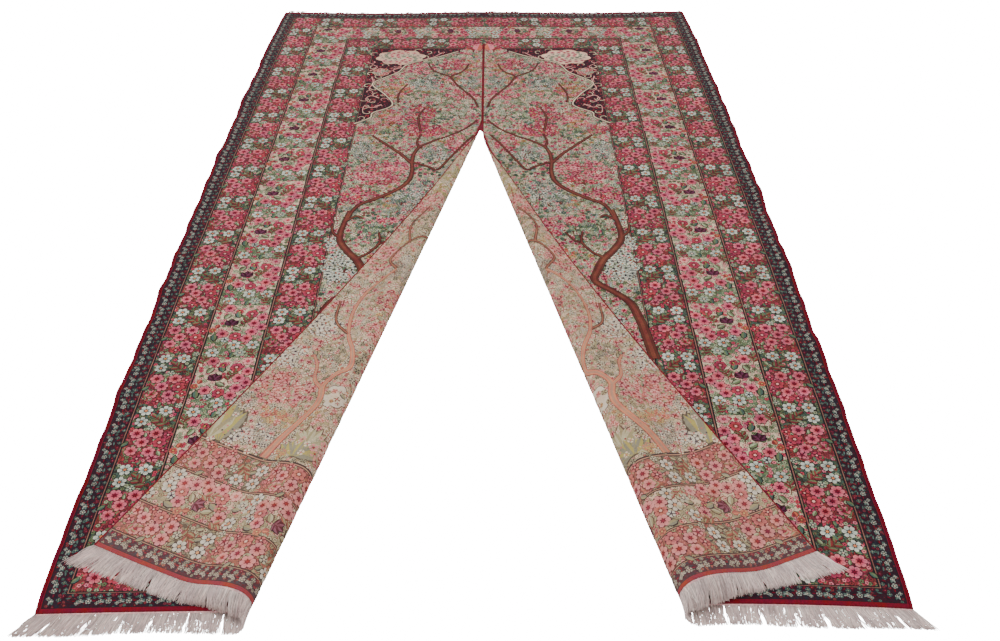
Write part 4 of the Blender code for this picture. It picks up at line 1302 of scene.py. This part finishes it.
# sunflower spiral: r = sqrt(i / n) of the bed's half size, angle = 2.4 i
def plantBed(u, v, wide, tall, kind):
    shape, size, names, density, leafShare = plants[kind]
    count = max(3, int(np.pi * wide * tall * 100 * density))
    i = np.arange(count)
    reach, angle = np.sqrt((i + 0.5) / count), growth["spiral"] * i + 40 * u
    at = np.stack([u + wide * reach * np.cos(angle), v + tall * reach * np.sin(angle)], axis=-1)
    at += growth["jitter"] * rng.normal(size=at.shape)
    chosen = [names[k] for k in rng.integers(0, len(names), count)]
    sizes = size / 1000 * (growth["least"] + growth["more"] * rng.random(count))
    turns = 6.28 * rng.random(count)
    green = max(2, int(count * leafShare))
    spot = rng.uniform(-growth["leafReach"], growth["leafReach"], size=(green, 2))
    leaves = np.array([u, v]) + np.array([wide, tall]) * spot
    tones = np.where(rng.random(green) < 0.5, "leaf", "teal").tolist()
    leafTurn = np.pi / 2 + 1.0 * rng.normal(size=green)
    root = np.array([u, v - growth["rootBelow"] * tall])
    away = at[::growth["stemEvery"]] - root
    for side in (-1.0, 1.0):
        axes = ((side, 0), (0, 1))
        mirror = np.array([side, 1.0])
        stamp("field", "leaf", leaves * mirror, growth["leaf"], leafTurn, tones, axes)
        stamp("field", shape, at * mirror, sizes, turns, chosen, axes)
        stamp("field", "stem", root * mirror, np.hypot(*away.T),
              np.arctan2(away[:, 1], away[:, 0]), "bark", axes)


meadow = {"step": 0.0165, "jitter": 0.0066, "size": 0.0064, "widest": 0.345, "panelGap": 0.006,
          "across": (0.010, 0.345), "along": (0.262, 2.05), "panelFoot": 1.56,
          "names": ("gold", "cream", "leaf", "paleRose", "sage", "rose", "cream", "teal",
                    "ash", "sage")}


# jittered grid of small flowers over the whole field, outside the panels; their colour
# follows slow waves = sin(31 u + 3 sin(9 v)) + sin(23 v + 2)
def scatterMeadow():
    u, v = np.meshgrid(np.arange(*meadow["across"], meadow["step"]),
                       np.arange(*meadow["along"], meadow["step"]))
    at = np.stack([u.ravel(), v.ravel()], axis=-1)
    at += meadow["jitter"] * rng.uniform(-1, 1, size=at.shape)
    edge = np.interp(at[:, 1], *np.array(corner[::-1]).T[::-1])
    outside = (at[:, 1] < meadow["panelFoot"]) | (at[:, 0] < edge - meadow["panelGap"])
    at = at[(at[:, 0] < meadow["widest"]) & outside]
    wave = np.sin(31 * at[:, 0] + 3 * np.sin(9 * at[:, 1])) + np.sin(23 * at[:, 1] + 2)
    pickAt = (wave / 4 + 0.5) * 0.7 + 0.3 * rng.random(len(at))
    names = [meadow["names"][int(k)] for k in np.clip(pickAt, 0, 0.999) * len(meadow["names"])]
    sizes = meadow["size"] * (0.75 + 0.5 * rng.random(len(at)))
    turns = 6.28 * rng.random(len(at))
    for side in (-1.0, 1.0):
        stamp("meadow", "tiny", at * (side, 1.0), sizes, turns, names, ((side, 0), (0, 1)))


scatterMeadow()
for bed in beds:
    plantBed(*bed)
print("field planted", len(beds), "beds")


def cloudShape(lobes, dip, points=40):
    angle = 2 * np.pi * np.arange(points) / points
    reach = 1 - dip * ((1 + np.cos(lobes * angle)) / 2) ** 2
    edge = np.stack([np.cos(angle), np.sin(angle)], axis=-1) * reach[:, None]
    return joinShapes(disc(edge, 1.06, 0.00006, line, line), disc(edge, 1.0, 0.00012, rim, mid))


shapes["cloud"] = cloudShape(8, 0.14)
panels = {
    "clouds": [(0.258, 1.998, 0.054, 1.45, "cloudCream"), (0.310, 1.893, 0.026, 1.0, "cloudCoral")],
    "scrolls": [[(0.335, 1.86), (0.327, 1.82), (0.335, 1.78), (0.322, 1.76)],
                [(0.300, 1.72), (0.325, 1.735), (0.338, 1.715), (0.325, 1.695), (0.308, 1.705)],
                [(0.290, 1.68), (0.315, 1.66), (0.338, 1.67), (0.340, 1.64)],
                [(0.345, 1.90), (0.325, 1.925), (0.345, 1.95)],
                [(0.25, 1.925), (0.275, 1.905), (0.26, 1.88)],
                [(0.13, 2.03), (0.155, 2.0), (0.18, 1.985)]],
    "curls": [(0.342, 1.60), (0.325, 1.635), (0.300, 1.665), (0.335, 1.67), (0.315, 1.70),
              (0.288, 1.71), (0.340, 1.715), (0.310, 1.74), (0.335, 1.76), (0.318, 1.785),
              (0.342, 1.80), (0.336, 1.84), (0.312, 1.86), (0.342, 1.88), (0.280, 1.915),
              (0.335, 1.925), (0.305, 1.94), (0.262, 1.94), (0.225, 1.97), (0.185, 2.0),
              (0.342, 1.965), (0.345, 2.02), (0.175, 2.035), (0.13, 2.035), (0.21, 2.045)],
}


def makePanels():
    for u, v, size, wide, name in panels["clouds"]:
        for side in (-1.0, 1.0):
            stamp("panels", "cloud", (side * u, v), size, 0.2, name, ((side * wide, 0), (0, 1)))
            count = int(size * wide * 560)
            i = np.arange(count)
            reach = 0.82 * size * np.sqrt((i + 0.5) / count)
            at = np.stack([side * (u + wide * reach * np.cos(2.4 * i)),
                           v + reach * np.sin(2.4 * i)], axis=-1)
            names = [("paleRose", "sage", "cream", "paleRose")[k % 4] for k in i]
            stamp("panels", "small", at, 0.0075, i * 1.1, names, ((side, 0), (0, 1)))
    for points in panels["scrolls"]:
        ribbon("panels", points, (0.004, 0.003, 0.002), "blush", "maroon", 0.002)
    ribbon("panels", corner[1:], (0.0042, 0.0042), "cream", "outline", 0.004)
    at = np.array(panels["curls"])
    turns = 2.3 * np.arange(len(at))
    names = [("cream", "cream", "paleRose")[k % 3] for k in range(len(at))]
    for side in (-1.0, 1.0):
        stamp("panels", "curl", at * (side, 1.0), 0.015, turns, names, ((side, 0), (0, 1)))
    for side in (-1.0, 1.0):
        axes = ((side, 0), (0, 1))
        stamp("panels", "bud", (side * 0.022, 2.045), 0.055, 1.75, "petalCoral", axes)
        stamp("panels", "bud", (side * 0.045, 2.02), 0.045, 1.35, "petalCoral", axes)
        stamp("panels", "leaf", (side * 0.03, 1.99), 0.04, 1.2, "teal", axes)


# foot of the field: a pale rock, arching yellow-green leaves by the slit and a round plant
def makeFootOfField():
    for side in (-1.0, 1.0):
        axes = ((side, 0), (0, 1))
        stamp("foot", "cloud", (side * 0.203, 0.428), 0.030, 0.3, "rockCream", axes)
        for u, v, count, size, spread, middle, name in footPlants:
            fan = np.linspace(-spread, spread, count) + np.radians(middle)
            at = np.stack([side * (u + 0.1 * size * np.cos(fan)), v + 0 * fan], axis=-1)
            stamp("foot", "blade", at, size * (1 - 0.25 * np.abs(np.sin(5 * fan))), fan, name, axes)


# root, number of leaves, their length, half spread, middle direction in degrees, palette
footPlants = [
    (0.052, 0.258, 7, 0.105, 0.30, 104, "lime"), (0.030, 0.258, 5, 0.075, 0.30, 96, "leaf"),
    (0.214, 0.268, 11, 0.056, 1.25, 90, "lime"), (0.222, 0.300, 9, 0.052, 1.1, 95, "leaf"),
    (0.300, 0.300, 7, 0.050, 0.9, 90, "leaf"),
]
makePanels()
makeFootOfField()


# splits each triangle into four; done on flat cloth, so that the pieces follow the fold
def refine(flat, rise, colour, tris):
    middle = [(tris[:, a], tris[:, b]) for a, b in ((0, 1), (1, 2), (2, 0))]
    start, count = flat.shape[1], len(tris)
    new = [(flat[:, a] + flat[:, b]) / 2 for a, b in middle]
    tone = [(colour[:, a] + colour[:, b]) / 2 for a, b in middle]
    lift = [(rise[:, a] + rise[:, b]) / 2 for a, b in middle]
    ab, bc, ca = (start + count * k + np.arange(count) for k in range(3))
    split = [(tris[:, 0], ab, ca), (ab, tris[:, 1], bc), (ca, bc, tris[:, 2]), (ab, bc, ca)]
    return (np.concatenate([flat] + new, axis=1), np.concatenate([rise] + lift, axis=1),
            np.concatenate([colour] + tone, axis=1),
            np.concatenate([np.stack(part, axis=-1) for part in split]))


def overAt(place):
    _, _, over, radius = overFold(place[..., 0], place[..., 1])
    below = place[..., 1] < pick("apexY", place[..., 0])
    return np.where(below, over, -1.0), radius


# where the flap lies over this part of the lower layer
def underFlap(place):
    over, radius = overAt(place)
    inward = foldAxes(place[..., 0])[1]
    flap = place + (np.pi * radius - 2 * over)[..., None] * inward
    side = np.sign(place[..., 0])
    slit = slitTake(place[..., 0], flap[..., 1])
    return (over > -0.9) & (over < 0) & (side * flap[..., 0] > slit + 0.025) & (flap[..., 1] > 0.03)


# Metres over the fold: the reverse's triangles are split to "fine" where the cloth bends, to "soft"
# on the rest of the flap's root; "far" is where the flap lies flat again. Below: how near the
# inlay comes to the cloth's edges and bindings.
laying = {"over": 0.012, "hidden": 0.02, "far": 0.30, "fine": 0.007, "soft": 0.016,
          "calm": 1.0, "levels": 3, "end": 0.0008, "selvedge": 0.0006, "slit": 0.0012,
          "proud": 0.0001, "rampUp": 0.004}


# splits a batch into bent, soft and flat parts, and yields each with its middles
def layBatch(flat, rise, colour, tris, reverse):
    centre = flat.mean(axis=1)
    over, radius = overAt(centre)
    if reverse:
        keep = over > -laying["over"]
    else:
        keep = (over < laying["hidden"]) & ~underFlap(centre)
    onFold = (over > -laying["over"]) & (over < np.pi * radius + laying["over"])
    tight = keep & onFold
    loose = keep & ~tight & (over > 0) & (over < laying["far"])
    calm = keep & ~tight & ~loose
    sides = flat[:, tris] - flat[:, np.roll(tris, 1, axis=1)]
    longest = np.hypot(sides[..., 0], sides[..., 1]).max()
    for mask, name in ((tight, "fine"), (loose, "soft"), (calm, "calm")):
        if not mask.any():
            continue
        levels = np.clip(np.ceil(np.log2(longest / laying[name])), 0, laying["levels"])
        part = (flat[mask], rise[mask], colour[mask], tris)
        if reverse:
            for _ in range(int(levels)):
                part = refine(*part)
        yield part + (centre[mask],)


# lays one part on the cloth: over the pile, or under it for the reverse
def layPart(flat, rise, centre, reverse):
    side = np.where(centre[:, :1] < 0, -1.0, 1.0)
    along = np.clip(flat[..., 1], laying["end"], rug["length"] - laying["end"])
    most = rug["halfWidth"] - rug["sideBinding"] - laying["selvedge"]
    least = slitTake(side + 0 * along, along) + rug["slitBinding"] + laying["slit"]
    least = np.where(along < rug["slitTop"], least, 0.0)
    across = side * np.clip(side * flat[..., 0], least, most)
    place = np.stack([across, along], axis=-1)
    if reverse:
        over = np.clip(overAt(place)[0] / laying["rampUp"], 0, 1)
        lift = -(rise + laying["proud"]) * over
    else:
        lift = rug["thickness"] + rise + 0 * across
    points = layCloth(across, along - endShift(across, along), lift)
    points[..., 2] = np.maximum(points[..., 2], 0.0)
    return points, place


def buildInlay(name, names, reverse=False):
    allPoints, allFaces, allUv, allColour, start = [], [], [], [], 0
    for batch in (item for layer in names for item in layers[layer]):
        for flat, rise, colour, tris, centre in layBatch(*batch, reverse):
            points, place = layPart(flat, rise, centre, reverse)
            faces = tris[None] + (np.arange(len(flat)) * flat.shape[1])[:, None, None] + start
            faces = faces[..., ::-1] if reverse else faces
            start += points.shape[0] * points.shape[1]
            allPoints.append(points.reshape(-1, 3))
            allFaces.append(faces.reshape(-1, 3))
            allUv.append(place.reshape(-1, 2))
            allColour.append(colour.reshape(-1, 4))
    paint = paints["inlaidReverse" if reverse else "inlaidPile"]
    piece = makePiece(name, np.concatenate(allPoints), np.concatenate(allFaces), [paint],
                      np.concatenate(allUv), np.concatenate(allColour), smooth=False)
    print(name, len(piece.data.polygons), "triangles")
    return piece


inlays = [
    buildInlay("guardSprigs", ["guard"]), buildInlay("outerStripeFlowers", ["outer"]),
    buildInlay("middleStripeFlowers", ["middle"]), buildInlay("innerStripeFlowers", ["inner"]),
    buildInlay("meadowFlowers", ["meadow"]),
    buildInlay("fieldFlowers", ["field"]), buildInlay("treeAndPanels", ["tree", "panels", "foot"]),
    buildInlay("reverseStripes", ["guard", "outer", "middle", "inner"], True),
    buildInlay("reverseField", ["field", "tree", "foot"], True),
    buildInlay("reverseMeadow", ["meadow"], True),
]
